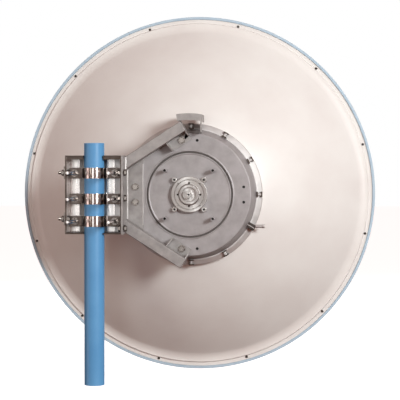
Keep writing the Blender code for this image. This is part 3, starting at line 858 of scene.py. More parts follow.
@dataclass
class Fastener:
    """A hexagon bolt drawn along +Z with its seat at the origin."""

    shank: float = 0.006
    pitch: float = 0.00175
    thread: float = 0.00035
    across: float = 0.011
    head: float = 0.0078
    washer: float = 0.013
    washer_thick: float = 0.0024
    nut: float = 0.0088
    chamfer: float = 0.12
    chamfer_reach: float = 1.2
    flat: float = 0.80
    tip: float = 0.85
    loose: float = 0.0003
    socket: float = 0.45
    socket_floor: float = 0.40
    dome: float = 0.6
    washer_edge: float = 0.2
    washer_bore: float = 0.9

    def hexagon(self, name: str, low: float, high: float) -> bpy.types.Object:
        """Make a chamfered hexagon head or nut.

        Args:
            name: The object's name.
            low: The height of its seat.
            high: The height of its top.

        Returns:
            The head.
        """
        solid = bar(name, (0, 0, low), (0, 0, high), self.across, 6)
        rise = self.across * self.chamfer
        reach = self.across * self.chamfer_reach
        cone = turned(
            name + "_chamfer",
            [
                (0.0, low - MM),
                (reach, low - MM),
                (reach, high - rise * 2.5),
                (self.across * self.flat, high),
                (0.0, high),
            ],
            Vector(),
            Axis.Z,
            36,
            closed=False,
        )
        return shade(combine(solid, [cone], "INTERSECT"))

    def rod(self, name: str, low: float, high: float, sides: int = 16) -> bpy.types.Object:
        """Make a threaded rod, with its threads drawn as rings.

        Args:
            name: The object's name.
            low: The height of its lower end.
            high: The height of its upper end.
            sides: How many faces go round.

        Returns:
            The rod.
        """
        count = int((high - low) / self.pitch)
        root = self.shank - self.thread
        tip = root * self.tip
        profile = [(0.0, low), (tip, low)]
        for turn in range(count):
            profile.append((root, low + (turn + 0.1) * self.pitch))
            profile.append((self.shank, low + (turn + 0.5) * self.pitch))
        profile += [(root, high - self.pitch * 0.5), (tip, high), (0.0, high)]
        return shade(turned(name, profile, Vector(), Axis.Z, sides, closed=False), 20.0)

    def flat_washer(self, name: str, low: float, high: float) -> bpy.types.Object:
        """Make a washer with small chamfers.

        Args:
            name: The object's name.
            low: The height of its lower face.
            high: The height of its upper face.

        Returns:
            The washer.
        """
        edge = (high - low) * self.washer_edge
        bore = self.shank * self.washer_bore
        profile = [
            (bore, low),
            (self.washer - edge, low),
            (self.washer, low + edge),
            (self.washer, high - edge),
            (self.washer - edge, high),
            (bore, high),
        ]
        return shade(turned(name, profile, Vector(), Axis.Z, 40))

    def bolt(
        self,
        name: str,
        shank_end: float,
        nut_at: float | None,
        lift: float = 0.0,
        tail: float = 0.0,
    ) -> bpy.types.Object:
        """Make a bolt with its washer, and its nut where it has one.

        Args:
            name: The object's name.
            shank_end: How deep below the seat the shank ends.
            nut_at: How deep the nut's near face lies, or None.
            lift: How far above the seat the washer lies.
            tail: How far the rod stands out of the head, which is then a nut.

        Returns:
            The bolt, with its head above the seat.
        """
        top = lift + self.washer_thick
        parts = [
            self.rod(name + "_rod", -shank_end, top + (self.head + tail if tail else 0.0)),
            self.flat_washer(name + "_washer", lift + self.loose, top),
            self.hexagon(name + "_head", top, top + self.head),
        ]
        if nut_at is not None:
            nut = self.hexagon(name + "_nut", 0.0, self.nut)
            under = Matrix.Translation((0, 0, -nut_at - self.loose)) @ Matrix.Rotation(math.pi, 4, "X")
            parts.append(duplicate(nut, name + "_nut_under", under))
            discard(nut)
        return merge(name, parts)

    def pan_head(self, name: str, radius: float, height: float) -> bpy.types.Object:
        """Make a small domed screw head with a socket.

        Args:
            name: The object's name.
            radius: The head's radius.
            height: The head's height.

        Returns:
            The screw head.
        """
        floor = height * self.socket_floor
        corners = [
            (0.0, -MM, 0.0),
            (radius, -MM, 0.0),
            (radius, height, height * self.dome),
            (radius * self.socket, height, 0.0),
            (radius * self.socket_floor, floor, 0.0),
            (0.0, floor, 0.0),
        ]
        return lathe(name, corners, Vector(), Axis.Z, 16, closed=False)


@dataclass
class Assembly:
    """A group of pieces on one body."""

    finishes: dict[str, Finish]
    body: Body = Body.ANTENNA
    gap: float = 0.0003
    made: list[bpy.types.Object] = field(default_factory=list)
    fastener: Fastener = field(default_factory=Fastener)

    def keep(self, piece: bpy.types.Object, finish: str, slot: Slot, *nodes: str) -> bpy.types.Object:
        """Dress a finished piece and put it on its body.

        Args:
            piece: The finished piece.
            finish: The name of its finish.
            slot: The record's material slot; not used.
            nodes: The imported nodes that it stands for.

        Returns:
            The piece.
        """
        settle(piece)
        piece.data.materials.clear()
        piece.data.materials.append(self.finishes[finish].material())
        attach(piece, self.body.value)
        if nodes:
            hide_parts(*nodes)
        self.made.append(piece)
        LOG.info("%s on %s, %d faces", piece.name, self.body.value, len(piece.data.polygons))
        return piece

    def rounded_copy(self, node: str, name: str, width: float) -> bpy.types.Object:
        """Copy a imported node, merge its loose triangles and round its corners.

        Args:
            node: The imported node.
            name: The copy's name.
            width: The width of the rounding.

        Returns:
            The rounded copy.
        """
        source = bpy.data.objects[node]
        copy = bpy.data.objects.new(name, source.data.copy())
        bpy.context.scene.collection.objects.link(copy)
        copy.data.name = name
        pick(copy, "FACE", lambda face: True)
        bpy.ops.mesh.remove_doubles(threshold=MERGE)
        bpy.ops.mesh.dissolve_limited(angle_limit=math.radians(1.0))
        bpy.ops.object.mode_set(mode="OBJECT")
        return soften(copy, width)


@dataclass
class Coaxial(Assembly):
    """A group of pieces that are placed about the dish axis."""

    axis: Vector = field(default_factory=Vector)
    vertex_y: float = 0.140
    four_focal: float = 1.238
    hole_circle: float = 0.192
    hole_offset: float = 8.0

    def at(self, x: float, y: float, z: float) -> Vector:
        """Return the place of a point measured from the dish axis."""
        return Vector((self.axis.x + x, y, self.axis.z + z))

    def around(self, radius: float, degrees: float, y: float) -> Vector:
        """Return a point at an angle from +X about the dish axis."""
        angle = math.radians(degrees)
        return self.at(radius * math.cos(angle), y, radius * math.sin(angle))

    def bowl_y(self, radius: float) -> float:
        """Return the y of the reflector's rear face at a radius of its parabola."""
        return self.vertex_y + radius * radius / self.four_focal


@dataclass
class PoleStub(Assembly):
    """The stub of round tube with a flat plate in each end."""

    body: Body = Body.POLE
    wall: float = 0.004
    edge: float = 0.0006
    steps: int = 96

    def build(self) -> None:
        """Make the tube and its two end plates."""
        low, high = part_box("pole_tube")
        radius = high.x
        bore = radius - self.wall
        corners = [
            (radius, low.z, self.edge),
            (radius, high.z, self.edge),
            (bore, high.z, 0.0),
            (bore, low.z, 0.0),
        ]
        tube = lathe("pole", corners, Vector(), Axis.Z, self.steps)
        self.keep(tube, "pole", Slot.POLE, "pole_tube")
        for node, name in (("pole_foot_plate", "foot_plate"), ("pole_top_plug", "top_plug")):
            bottom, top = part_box(node)
            disc = [
                (0.0, bottom.z, 0.0),
                (top.x, bottom.z, self.edge),
                (top.x, top.z, self.edge),
                (0.0, top.z, 0.0),
            ]
            plate = lathe(name, disc, Vector(), Axis.Z, self.steps, closed=False)
            self.keep(plate, "pole", Slot.POLE, node)


@dataclass
class Clamp(Assembly):
    """The tray, the straps, the studs and the bolts that hold the pole."""

    body: Body = Body.CLAMP
    skin: float = 0.005
    lip: float = 0.014
    seat: float = 0.0355
    facing_left: tuple[float, float] = (-0.0930, -0.0602)
    facing_right: tuple[float, float] = (0.0250, 0.0640)
    ear_plate: float = 0.0015
    facing_thick: float = 0.0004
    facing_edge: float = 0.004
    thin_washer: float = 0.0015
    strap_skin: float = 0.005
    bend: float = 0.003
    plate_washer: tuple[float, float, float] = (0.004, 0.028, 0.044)
    end_tail: float = 0.011

    def build(self) -> None:
        """Make the clamp from the pole outwards."""
        self.build_tray()
        self.build_facings()
        self.build_straps()
        self.build_studs()
        self.build_side_bolts()

    def build_tray(self) -> None:
        """Make the folded tray with its notches for the pole."""
        low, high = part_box("clamp_tray")
        tray = block("tray", low, high)
        pick(tray, "FACE", lambda face: face.normal.y < -0.9)
        bpy.ops.mesh.inset(thickness=self.skin, depth=0.0)
        depth = high.y - low.y - self.skin
        extrude((0.0, depth, 0.0))
        bpy.ops.object.mode_set(mode="OBJECT")
        soften(tray, 0.0012, 3)
        lip = block(
            "tray_lip",
            (low.x + self.skin * 0.8, low.y + 0.0006, high.z - self.lip),
            (high.x - self.skin * 0.8, low.y + self.skin, high.z - self.skin * 0.8),
        )
        combine(tray, [lip], "UNION")
        bottom, top = low.z - PAST, high.z + PAST
        pole = bar("notch_round", (0, 0, bottom), (0, 0, top), self.seat, 64)
        way = block("notch_way", (-self.seat, low.y - PAST, bottom), (self.seat, 0, top))
        combine(tray, [pole, way], "DIFFERENCE")
        self.keep(shade(tray), "frame", Slot.TRAY, "clamp_tray")

    def build_facings(self) -> None:
        """Make the facing sheets inside the tray: bright steel on the web, a darker sheet behind the pole
        as painted shadow, and bright sheets by the right wall and on the left wall as painted light.
        """
        low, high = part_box("clamp_tray")
        web = high.y - self.skin
        thick = self.facing_thick
        back = web - thick
        wall = low.x + self.skin
        left, right = self.facing_left, self.facing_right
        bottom, top = low.z + self.skin + MM, high.z - self.skin - MM
        for name, start, end, finish in (
            ("facing_left", (left[0], back), (left[1], web), "facing"),
            ("facing_right", (right[0], back), (right[1], web), "facing"),
            # Painted shadow: a darker sheet behind the pole, where the pole's shadow falls on the web
            ("facing_middle", (left[1] + thick, back), (right[0] - thick, web), "bracket"),
            # Painted light: a brighter strip by the right wall, where the side plate shades the web
            ("facing_edge", (right[1] + thick, back), (high.x - self.skin - thick, web), "bright_cut_and_painted_light"),
            # Painted light: a bright sheet on the left wall's inner face, which faces the key light
            ("facing_wall", (wall, low.y + self.facing_edge), (wall + thick, back - thick), "facing"),
        ):
            sheet = block(name, (*start, bottom), (*end, top))
            self.keep(soften(sheet, 0.0001, 1), finish, Slot.TRAY)

    def strap_line(self, front: float, half: float) -> list[tuple[float, float]]:
        """Return the line of a strap's inner face, in x and y.

        Args:
            front: The y of the ears' front face.
            half: Half of the strap's width.

        Returns:
            The line from the left ear to the right one.
        """
        outside = self.bend + self.strap_skin
        turn = [(-self.seat - outside + x, front - outside + y) for x, y in arc(outside, 90, 0, 6)]
        mirrored = [(-x, y) for x, y in reversed(turn)]
        return [(-half, front)] + turn + arc(self.seat, 180, 360, 40) + mirrored + [(half, front)]

    def build_straps(self) -> None:
        """Make the three straps round the rear of the pole, with a backing plate on each ear."""
        for level in ("upper", "middle", "lower"):
            node = "strap_" + level
            low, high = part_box(node)
            line = [Vector((x, y, low.z)) for x, y in self.strap_line(high.y, high.x)]
            strap = ribbon("band_" + level, line, Vector((0, 0, high.z - low.z)), self.strap_skin)
            soften(strap, 0.0008, 2, 60.0)
            self.keep(strap, "strap", Slot.STRAP, node)
            seat = high.y - self.strap_skin - self.gap
            bend = self.seat + self.bend + self.strap_skin + MM
            for side, near, far in (("left", low.x + 0.0005, -bend), ("right", bend, high.x - 0.0005)):
                plate = block(
                    "ear_plate_" + level + "_" + side,
                    (near, seat - self.ear_plate, low.z + 0.0008),
                    (far, seat, high.z - 0.0008),
                )
                self.keep(soften(plate, 0.0004, 1), "backing", Slot.STRAP)

    def build_studs(self) -> None:
        """Make the six threaded studs with their nuts and washers."""
        low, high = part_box("stud_upper_left")
        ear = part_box("strap_upper")[1].y - self.strap_skin
        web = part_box("clamp_tray")[1].y
        length = high.y - low.y
        sizes = self.fastener
        rod = sizes.rod("stud_pattern", 0.0, length, 14)
        nut = sizes.hexagon("nut_pattern", 0.0, sizes.nut - self.thin_washer)
        washer = sizes.flat_washer("washer_pattern", 0.0, self.thin_washer)
        lifted = Matrix.Translation((0.0, 0.0, self.thin_washer))
        for level in ("upper", "middle", "lower"):
            for side in ("left", "right"):
                node = "stud_" + level + "_" + side
                low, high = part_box(node)
                x, z = (low.x + high.x) / 2, (low.z + high.z) / 2
                forward = facing(Vector((x, low.y, z)), (0.0, 1.0, 0.0))
                self.keep(duplicate(rod, "rod_" + level + "_" + side, forward), "rod", Slot.BOLT, node)
                parts = []
                inner = web - self.skin - self.facing_thick - self.gap
                outer = ear - self.ear_plate - 2 * self.gap
                for place, way in ((outer, -1), (inner, -1), (web + self.gap, 1)):
                    seat = facing(Vector((x, place, z)), (0.0, way, 0.0))
                    parts.append(duplicate(washer, node + "_washer", seat))
                    parts.append(duplicate(nut, node + "_nut", seat @ lifted))
                self.keep(merge("nuts_" + level + "_" + side, parts), "bolt", Slot.BOLT)
        discard(rod, nut, washer)

    def build_side_bolts(self) -> None:
        """Make the pivot bolt, the tilt bolts and the bolts in the left wall."""
        sizes = self.fastener
        thick, deep, tall = self.plate_washer
        for node, way, lift in (
            ("tilt_bolt_upper", 1, 0.0),
            ("pivot_bolt", 1, 0.0),
            ("tilt_bolt_lower", 1, 0.0),
            ("end_bolt_upper", -1, thick),
            ("end_bolt_lower", -1, thick),
        ):
            low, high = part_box(node)
            top = sizes.washer_thick + sizes.head
            head_end = high.x if way > 0 else low.x
            tail_end = low.x if way > 0 else high.x
            seat = head_end - way * (top + 2 * self.gap)
            shank = abs(seat - tail_end)
            tail = self.end_tail if lift else 0.0
            bolt = sizes.bolt(node + "_pattern", shank, shank - sizes.nut - 2 * self.gap, lift, tail)
            place = Vector((seat, (low.y + high.y) / 2, (low.z + high.z) / 2))
            piece = duplicate(bolt, node + "_fine", facing(place, (way, 0.0, 0.0)))
            discard(bolt)
            self.keep(piece, "bolt", Slot.BOLT, node)
            if lift:
                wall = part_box("clamp_tray")[0].x
                washer = block(
                    node + "_plate",
                    (wall - thick, place.y - deep / 2, place.z - tall / 2),
                    (wall - self.gap, place.y + deep / 2, place.z + tall / 2),
                )
                self.keep(soften(washer, 0.0008), "bolt", Slot.BOLT)


@dataclass
class Bracket(Coaxial):
    """The side plate, the two arms with their ears, and the foot strip."""

    slope: float = math.radians(32.6)
    inner: float = 0.1929
    width: float = 0.037
    skin: float = 0.006
    end: float = 0.114
    rear: float = 0.022
    front: float = 0.0837
    fold: float = 0.003
    ear_start: float = 0.030
    ear_slant: float = 0.003
    ear_width: float = 0.034
    ear_thick: float = 0.008
    ear_short: float = 0.002
    rib_thick: float = 0.0035
    gusset_top: float = 0.006
    gusset_fall: float = 0.010
    gusset_root: float = 0.002
    gusset_share: float = 0.45
    ear_root: float = 0.003
    hole: float = 0.0066
    bead: float = 0.0052
    bead_short: float = 0.002
    edge_inset: float = 0.003
    foot_edge: float = 0.108

    def build(self) -> None:
        """Make the bracket and the bolts that hold it on the hub."""
        self.build_arm("arm_upper", "channel_upper", 1)
        self.build_arm("arm_lower", "channel_lower", -1)
        for node, name, edge in (
            ("bracket_foot", "foot_strip", 0.0016),
            ("side_plate", "cheek_plate", 0.0014),
        ):
            self.keep(self.rounded_copy(node, name, edge), "bracket", Slot.BRACKET, node)
        self.build_welds()
        self.build_bolts()

    def place(self, side: int, along: float, out: float, y: float) -> Vector:
        """Return a point given along an arm and outward from the dish axis.

        Args:
            side: 1 for the upper arm, -1 for the lower one.
            along: The distance along the arm.
            out: The distance from the dish axis.
            y: The point's y.

        Returns:
            The point.
        """
        cos, sin = math.cos(self.slope), math.sin(self.slope)
        x = along * cos - out * sin
        z = side * (along * sin + out * cos)
        return Vector((self.axis.x + x, y, self.axis.z + z))

    def start(self, out: float) -> float:
        """Return how far along an arm it meets the side plate."""
        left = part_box("arm_upper")[0].x - self.axis.x
        return (left + out * math.sin(self.slope)) / math.cos(self.slope)

    def outline(self, side: int, corners: Sequence[tuple[float, float]], y: float) -> list[Vector]:
        """Return an outline whose corners are given along and out from an arm."""
        return [self.place(side, along, out, y) for along, out in corners]

    def build_arm(self, node: str, name: str, side: int) -> None:
        """Make one arm: a channel with folded edges, an ear and two gussets.

        Args:
            node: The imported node.
            name: The piece's name.
            side: 1 for the upper arm, -1 for the lower one.
        """
        outer = self.inner + self.width
        corners = [
            (self.start(self.inner), self.inner),
            (self.end, self.inner),
            (self.end, outer),
            (self.start(outer), outer),
        ]
        depth = self.front - self.rear
        arm = prism(name, self.outline(side, corners, self.rear), Vector((0, depth, 0)))
        pick(arm, "EDGE", lambda edge: all(abs(vert.co.y - self.rear) < MERGE for vert in edge.verts))
        bpy.ops.mesh.bevel(offset=self.fold, segments=4, affect="EDGES")
        bpy.ops.object.mode_set(mode="OBJECT")
        pick(arm, "FACE", lambda face: face.normal.y > 0.9)
        bpy.ops.mesh.inset(thickness=self.skin, depth=0.0)
        extrude((0.0, self.skin - depth, 0.0))
        bpy.ops.object.mode_set(mode="OBJECT")
        last = self.end - self.ear_short
        low = self.inner - self.ear_width
        root = self.inner + self.ear_root
        ear = [
            (self.ear_start, root),
            (self.ear_start + self.ear_slant, low),
            (last, low),
            (last, root),
        ]
        base = self.front - self.gap - self.ear_thick
        lug = prism(name + "_ear", self.outline(side, ear, base), Vector((0, self.ear_thick, 0)))
        tip = self.rear + self.gusset_top
        top = self.inner + self.gusset_root
        sunk = base + self.gusset_root
        low_tip = tip + self.gusset_fall
        across = self.place(side, self.rib_thick, 0.0, 0.0) - self.place(side, 0.0, 0.0, 0.0)
        first, second = self.ear_start, last - self.rib_thick
        ribs = [
            prism(
                name + "_gusset",
                [
                    self.place(side, along, top, tip),
                    self.place(side, along, top, sunk),
                    self.place(side, along + slant, reach, sunk),
                    self.place(side, along + slant, reach, low_tip),
                ],
                across,
            )
            for along, slant, reach in (
                (first, self.ear_slant, low + 0.0004),
                (second, 0.0, low + self.ear_width * self.gusset_share),
            )
        ]
        combine(arm, [lug] + ribs, "UNION")
        angle = side * (90.0 + self.hole_offset)
        hole = bar(
            name + "_hole",
            self.around(self.hole_circle, angle, self.front - PAST),
            self.around(self.hole_circle, angle, self.front + PAST),
            self.hole,
        )
        combine(arm, [hole], "DIFFERENCE")
        self.keep(soften(arm, 0.0009, 2, 40.0), "bracket", Slot.BRACKET, node)

    def build_welds(self) -> None:
        """Make the weld beads along the side plate and the rolled edge of the foot, with painted highlights
        and painted shade in their finishes.
        """
        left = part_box("arm_upper")[0].x
        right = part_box("bracket_foot")[1].x
        outer = self.inner + self.width
        near = self.place(1, self.start(self.inner), self.inner, 0.0).z - self.axis.z
        far = self.place(1, self.start(outer), outer, 0.0).z - self.axis.z - self.bead_short
        foot = near - self.bead_short
        rolled = right - self.edge_inset
        base = self.front - self.ear_thick
        crest = self.rear + self.fold
        # Painted highlights: the bright finish on the foot weld, the upper weld and the foot's rolled edge.
        # Painted shade: the darker bracket finish on the lower weld, which the light from above reaches
        # less
        for name, x, y, low, high, share, finish in (
            ("weld_foot", left, base, -foot, foot, 0.62, "bright_cut_and_painted_light"),
            ("weld_arm_upper", left, crest, near, far, 1.0, "bright_cut_and_painted_light"),
            ("weld_arm_lower", left, crest, -far, -near, 0.7, "bracket"),
            ("foot_edge", rolled, base, -self.foot_edge, self.foot_edge, 0.42, "bright_cut_and_painted_light"),
        ):
            radius = self.bead * share
            corners = [
                (0.0, low, 0.0),
                (radius, low, MM),
                (radius, high, MM),
                (0.0, high, 0.0),
            ]
            centre = Vector((x + MM, y + MM, self.axis.z))
            section = [(out, self.axis.z + height) for out, height in eased(corners, closed=False)]
            bead = shade(turned(name, section, centre, Axis.Z, 24, closed=False))
            self.keep(bead, finish, Slot.BRACKET)

    def build_bolts(self) -> None:
        """Make the four bolts through the ears and the foot."""
        sizes = self.fastener
        low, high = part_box("bracket_bolt_top")
        top = sizes.washer_thick + sizes.head
        shank = high.y - low.y - top
        pattern = sizes.bolt("bracket_bolt_pattern", shank - MM, None)
        for place in ("top", "left_upper", "left_lower", "bottom"):
            node = "bracket_bolt_" + place
            low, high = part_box(node)
            seat = Vector(((low.x + high.x) / 2, low.y + top + self.gap, (low.z + high.z) / 2))
            copy = duplicate(pattern, node + "_fine", facing(seat, BACK))
            self.keep(copy, "bolt", Slot.BOLT, node)
        discard(pattern)


@dataclass
class Hub(Coaxial):
    """The pan-shaped casting, its ring with clips, the posts, the hood and the cleat."""

    plate_y: float = 0.084
    plate_thick: float = 0.008
    plate_radius: float = 0.216
    foot_radius: float = 0.2307
    wall: float = 0.008
    groove: tuple[float, float] = (0.1466, 0.1514)
    groove_depth: float = 0.0060
    ridges: tuple[float, float, float] = (0.1404, 0.1572, 0.0014)
    ridge_slopes: tuple[float, float, float] = (0.0020, 0.0010, 0.0002)
    cord: float = 0.0019
    ring_y: float = 0.156
    ring: tuple[float, float] = (0.231, 0.252)
    ring_fall: float = 0.010
    ring_flat: float = 0.004
    clip_radius: float = 0.2426
    clip_size: tuple[float, float] = (0.020, 0.019)
    clip_bar: float = 0.0042
    clip_pad: float = 0.0100
    clip_rise: float = 0.0078
    clip_sink: float = 0.009
    clip_step: float = 0.003
    clip_floor: float = 0.0040
    pad_top: float = 0.0012
    pad_play: float = 0.0005
    hole: float = 0.0052
    bolt_hole: float = 0.0066
    bolted_side: tuple[float, float] = (95.0, 265.0)
    bore: float = 0.0248
    post_spacing: float = 0.084
    post_radius: float = 0.007
    post_height: float = 0.042
    post_bore: float = 0.0048
    post_deep: float = 0.008
    bore_play: float = 0.97
    plug_deep: float = 0.005
    hood_outer: float = 0.283
    hood_band: float = 0.2594
    hood_skin: float = 0.004
    hood_cheek: float = 0.0460
    hood_left: float = 98.6
    hood_foot: float = 0.217
    hood_lean: float = 0.0085
    hood_under: float = 0.0004
    hood_clear: tuple[float, float] = (0.110, 0.2)
    cleat_size: tuple[float, float] = (0.031, 0.021)
    cleat_slope: float = -30.0
    cleat_inset: float = 0.0035
    cleat_strip: tuple[float, float, float] = (0.9, 0.14, 0.0012)
    cleat_rod: tuple[float, float] = (0.0058, 0.0070)
    cleat_depth: float = 0.010
    cleat_head: float = 0.0105
    clip_places: tuple[float, ...] = (0.0, 30.0, 60.0, 90.0, 150.0, 180.0, 210.0, 270.0, 300.0)
    steps: int = 192

    def dish_y(self, radius: float) -> float:
        """Return the y at which the hub's feet stop, just behind the dish."""
        return self.bowl_y(radius) - 2 * self.gap

    def build(self) -> None:
        """Make the hub from the plate outwards."""
        self.build_pan()
        self.build_ring()
        self.build_clips()
        self.build_posts()
        self.build_hood()
        self.build_cleat()

    def build_pan(self) -> None:
        """Make the pan-shaped casting with its ridges, groove and holes, and the cord in its groove."""
        first, last = self.groove
        inner_ridge, outer_ridge, proud = self.ridges
        slope, edge, draft = self.ridge_slopes
        bottom = self.plate_y + self.groove_depth
        crest = self.plate_y - proud
        inside = self.plate_y + self.plate_thick
        foot_inner = self.foot_radius - self.wall
        corners = [
            (self.foot_radius, self.dish_y(self.foot_radius), 0.0),
            (self.foot_radius, self.ring_y, 0.002),
            (self.plate_radius, self.plate_y, 0.0034),
            (outer_ridge, self.plate_y, 0.0008),
            (outer_ridge - slope, crest, 0.0010),
            (last + edge, crest, 0.0008),
            (last - draft, bottom, 0.0006),
            (first + draft, bottom, 0.0006),
            (first - edge, crest, 0.0008),
            (inner_ridge + slope, crest, 0.0010),
            (inner_ridge, self.plate_y, 0.0008),
            (self.bore, self.plate_y, 0.0),
            (self.bore, inside, 0.0),
            (self.plate_radius - self.wall, inside, 0.002),
            (foot_inner, self.ring_y, 0.0),
            (foot_inner, self.dish_y(foot_inner), 0.0),
        ]
        pan = turned("hub_pan", eased(corners), self.axis, Axis.Y, self.steps)
        cutters = []
        for quarter in range(4):
            for side in (-1, 1):
                angle = 90.0 * quarter + side * self.hole_offset
                low = self.around(self.hole_circle, angle, self.plate_y - PAST)
                high = self.around(self.hole_circle, angle, self.plate_y + PAST)
                bolted = self.bolted_side[0] < angle < self.bolted_side[1]
                radius = self.bolt_hole if bolted else self.hole
                cutters.append(bar("pan_hole", low, high, radius, 24))
        combine(pan, cutters, "DIFFERENCE")
        self.keep(shade(pan, 30.0), "cast", Slot.CASTING, "hub_casting")
        # A grey rubber cord in the groove; its dark grey also paints the shade on the groove's floor
        centre = (first + last) / 2
        height = bottom - self.cord - self.gap
        section = [(centre + out, height + rise) for out, rise in arc(self.cord, 0, 360, 12)[:-1]]
        cord = shade(turned("groove_cord", section, self.axis, Axis.Y, self.steps))
        self.keep(cord, "cord_and_painted_groove_shade", Slot.CASTING)

    def build_ring(self) -> None:
        """Make the crowned ring that seats the pan on the dish."""
        inner, outer = self.ring
        corners = [
            (outer, self.dish_y(outer), 0.0),
            (outer, self.ring_y + self.ring_fall, 0.0022),
            (inner + self.ring_flat, self.ring_y, 0.002),
            (inner, self.ring_y, 0.0),
            (inner, self.dish_y(inner), 0.0),
        ]
        ring = lathe("seat_ring", corners, self.axis, Axis.Y, self.steps, degrees=30.0)
        self.keep(ring, "seat", Slot.CASTING, "hub_ring")

    def build_clips(self) -> None:
        """Make the small clips on the ring, thirty degrees apart but for the arms and the cleat."""
        deep, wide = self.clip_size
        near = self.ring_y - self.clip_rise
        far = self.ring_y + self.clip_sink
        floor = near + self.clip_floor
        first, last = self.clip_radius - deep / 2, self.clip_radius + deep / 2
        half, pad_half = wide / 2, self.clip_pad / 2
        clip = block(
            "clip_pattern",
            self.at(first, near, -half),
            self.at(first + self.clip_bar, far, half),
        )
        other = block(
            "clip_bar",
            self.at(last - self.clip_bar, near + self.clip_step, -half),
            self.at(last, far, half),
        )
        bridge = block(
            "clip_bridge",
            self.at(first + MM, floor, -pad_half),
            self.at(last - MM, far, pad_half),
        )
        combine(clip, [other, bridge], "UNION")
        soften(clip, 0.0007)
        inset = self.clip_bar + self.gap
        pad = block(
            "clip_pad_pattern",
            self.at(first + inset, near + self.pad_top, -pad_half + self.pad_play),
            self.at(last - inset, floor - self.gap, pad_half - self.pad_play),
        )
        soften(pad, 0.0008)
        for index, degrees in enumerate(self.clip_places):
            turn = Matrix.Translation(self.axis) @ Matrix.Rotation(-math.radians(degrees), 4, "Y")
            back = turn @ Matrix.Translation(-self.axis)
            self.keep(duplicate(clip, "ring_clip_" + str(index + 1), back), "frame", Slot.BOLT)
            self.keep(duplicate(pad, "clip_pad_" + str(index + 1), back), "bright_cut_and_painted_light", Slot.BOLT)
        discard(clip, pad)

    def build_posts(self) -> None:
        """Make the four tapped posts, and the dark bores of all tapped holes."""
        base = self.plate_y - self.gap
        tip = base - self.post_height
        corners = [
            (0.0, base, 0.0),
            (self.post_radius, base, 0.0),
            (self.post_radius, tip, 0.0008),
            (self.post_bore, tip, 0.0006),
            (self.post_bore, tip + self.post_deep, 0.0),
            (0.0, tip + self.post_deep, 0.0),
        ]
        post = lathe("post_pattern", corners, Vector(), Axis.Y, 32, closed=False)
        plug = bore_plug(self.post_bore * self.bore_play)
        sunk = Matrix.Translation((0.0, tip + self.plug_deep, 0.0))
        bores = []
        for row, side_z in (("upper", 1), ("lower", -1)):
            for column, side_x in (("left", -1), ("right", 1)):
                node = "post_" + row + "_" + column
                x, z = side_x * self.post_spacing, side_z * self.post_spacing
                place = Matrix.Translation(self.at(x, 0.0, z))
                self.keep(duplicate(post, "stud_" + node, place), "cast", Slot.CASTING, node)
                bores.append(duplicate(plug, "bore", place @ sunk))
        wide = Matrix.Scale(self.hole / self.post_bore, 4)
        near, far = self.hole_offset, 90.0 - self.hole_offset
        for angle in (-far, -near, near, far):
            place = self.around(self.hole_circle, angle, self.plate_y + 2 * MM)
            bores.append(duplicate(plug, "bore", Matrix.Translation(place) @ wide))
        discard(post, plug)
        self.keep(merge("tapped_bores", bores), "bore", Slot.CASTING)

    def arch(self, outer: float, inner: float, right: float, left: float, y: float) -> list[Vector]:
        """Return the outline of an arched band, from a right edge to an angle on the left and back.

        Args:
            outer: The band's outer radius.
            inner: Its inner radius.
            right: How far right of the dish axis it starts.
            left: The angle at which it ends, in degrees.
            y: The y of the outline.

        Returns:
            The outline.
        """
        first = math.degrees(math.acos(right / outer))
        second = math.degrees(math.acos(right / inner))
        line = arc(outer, first, left, 16) + arc(inner, left, second, 16)
        return [self.at(x, y, z) for x, z in line]

    def build_hood(self) -> None:
        """Make the arched hood over the top of the ring: a curved wall, a rear band and a right cheek."""
        low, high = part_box("top_hood")
        outer, band, skin = self.hood_outer, self.hood_band, self.hood_skin
        edge = self.hood_cheek
        depth = high.y - low.y
        hood = prism("hood", self.arch(outer, band, edge, self.hood_left, low.y), Vector((0.0, depth, 0.0)))
        last = self.hood_left - math.degrees(skin / outer)
        hollow = self.arch(outer - skin, band - 2 * skin, edge - skin, last, low.y + skin)
        clear_from, clear_to = self.hood_clear
        combine(hood, [prism("hood_hollow", hollow, Vector((0.0, clear_to, 0.0)))], "DIFFERENCE")
        foot, lean = self.hood_foot, edge - self.hood_lean
        top = math.sqrt(outer * outer - edge * edge) - self.hood_under
        cheek = [
            self.at(edge - skin, low.y, foot),
            self.at(edge, low.y, foot),
            self.at(lean, high.y, foot),
            self.at(lean - skin, high.y, foot),
        ]
        combine(hood, [prism("hood_cheek", cheek, Vector((0.0, 0.0, top - foot)))], "UNION")
        rear, front = self.at(0.0, clear_from, 0.0), self.at(0.0, clear_to, 0.0)
        clear = bar("hood_clear", rear, front, self.ring[0] + 3 * self.gap, self.steps)
        combine(hood, [clear], "DIFFERENCE")
        self.keep(soften(hood, 0.0012), "bracket", Slot.CASTING, "top_hood")

    def lozenge(self, centre: Vector, along: Vector, across: Vector) -> list[Vector]:
        """Return the corners of a slanting rectangle, from its middle and its half sides."""
        return [
            centre - along - across,
            centre + along - across,
            centre + along + across,
            centre - along + across,
        ]

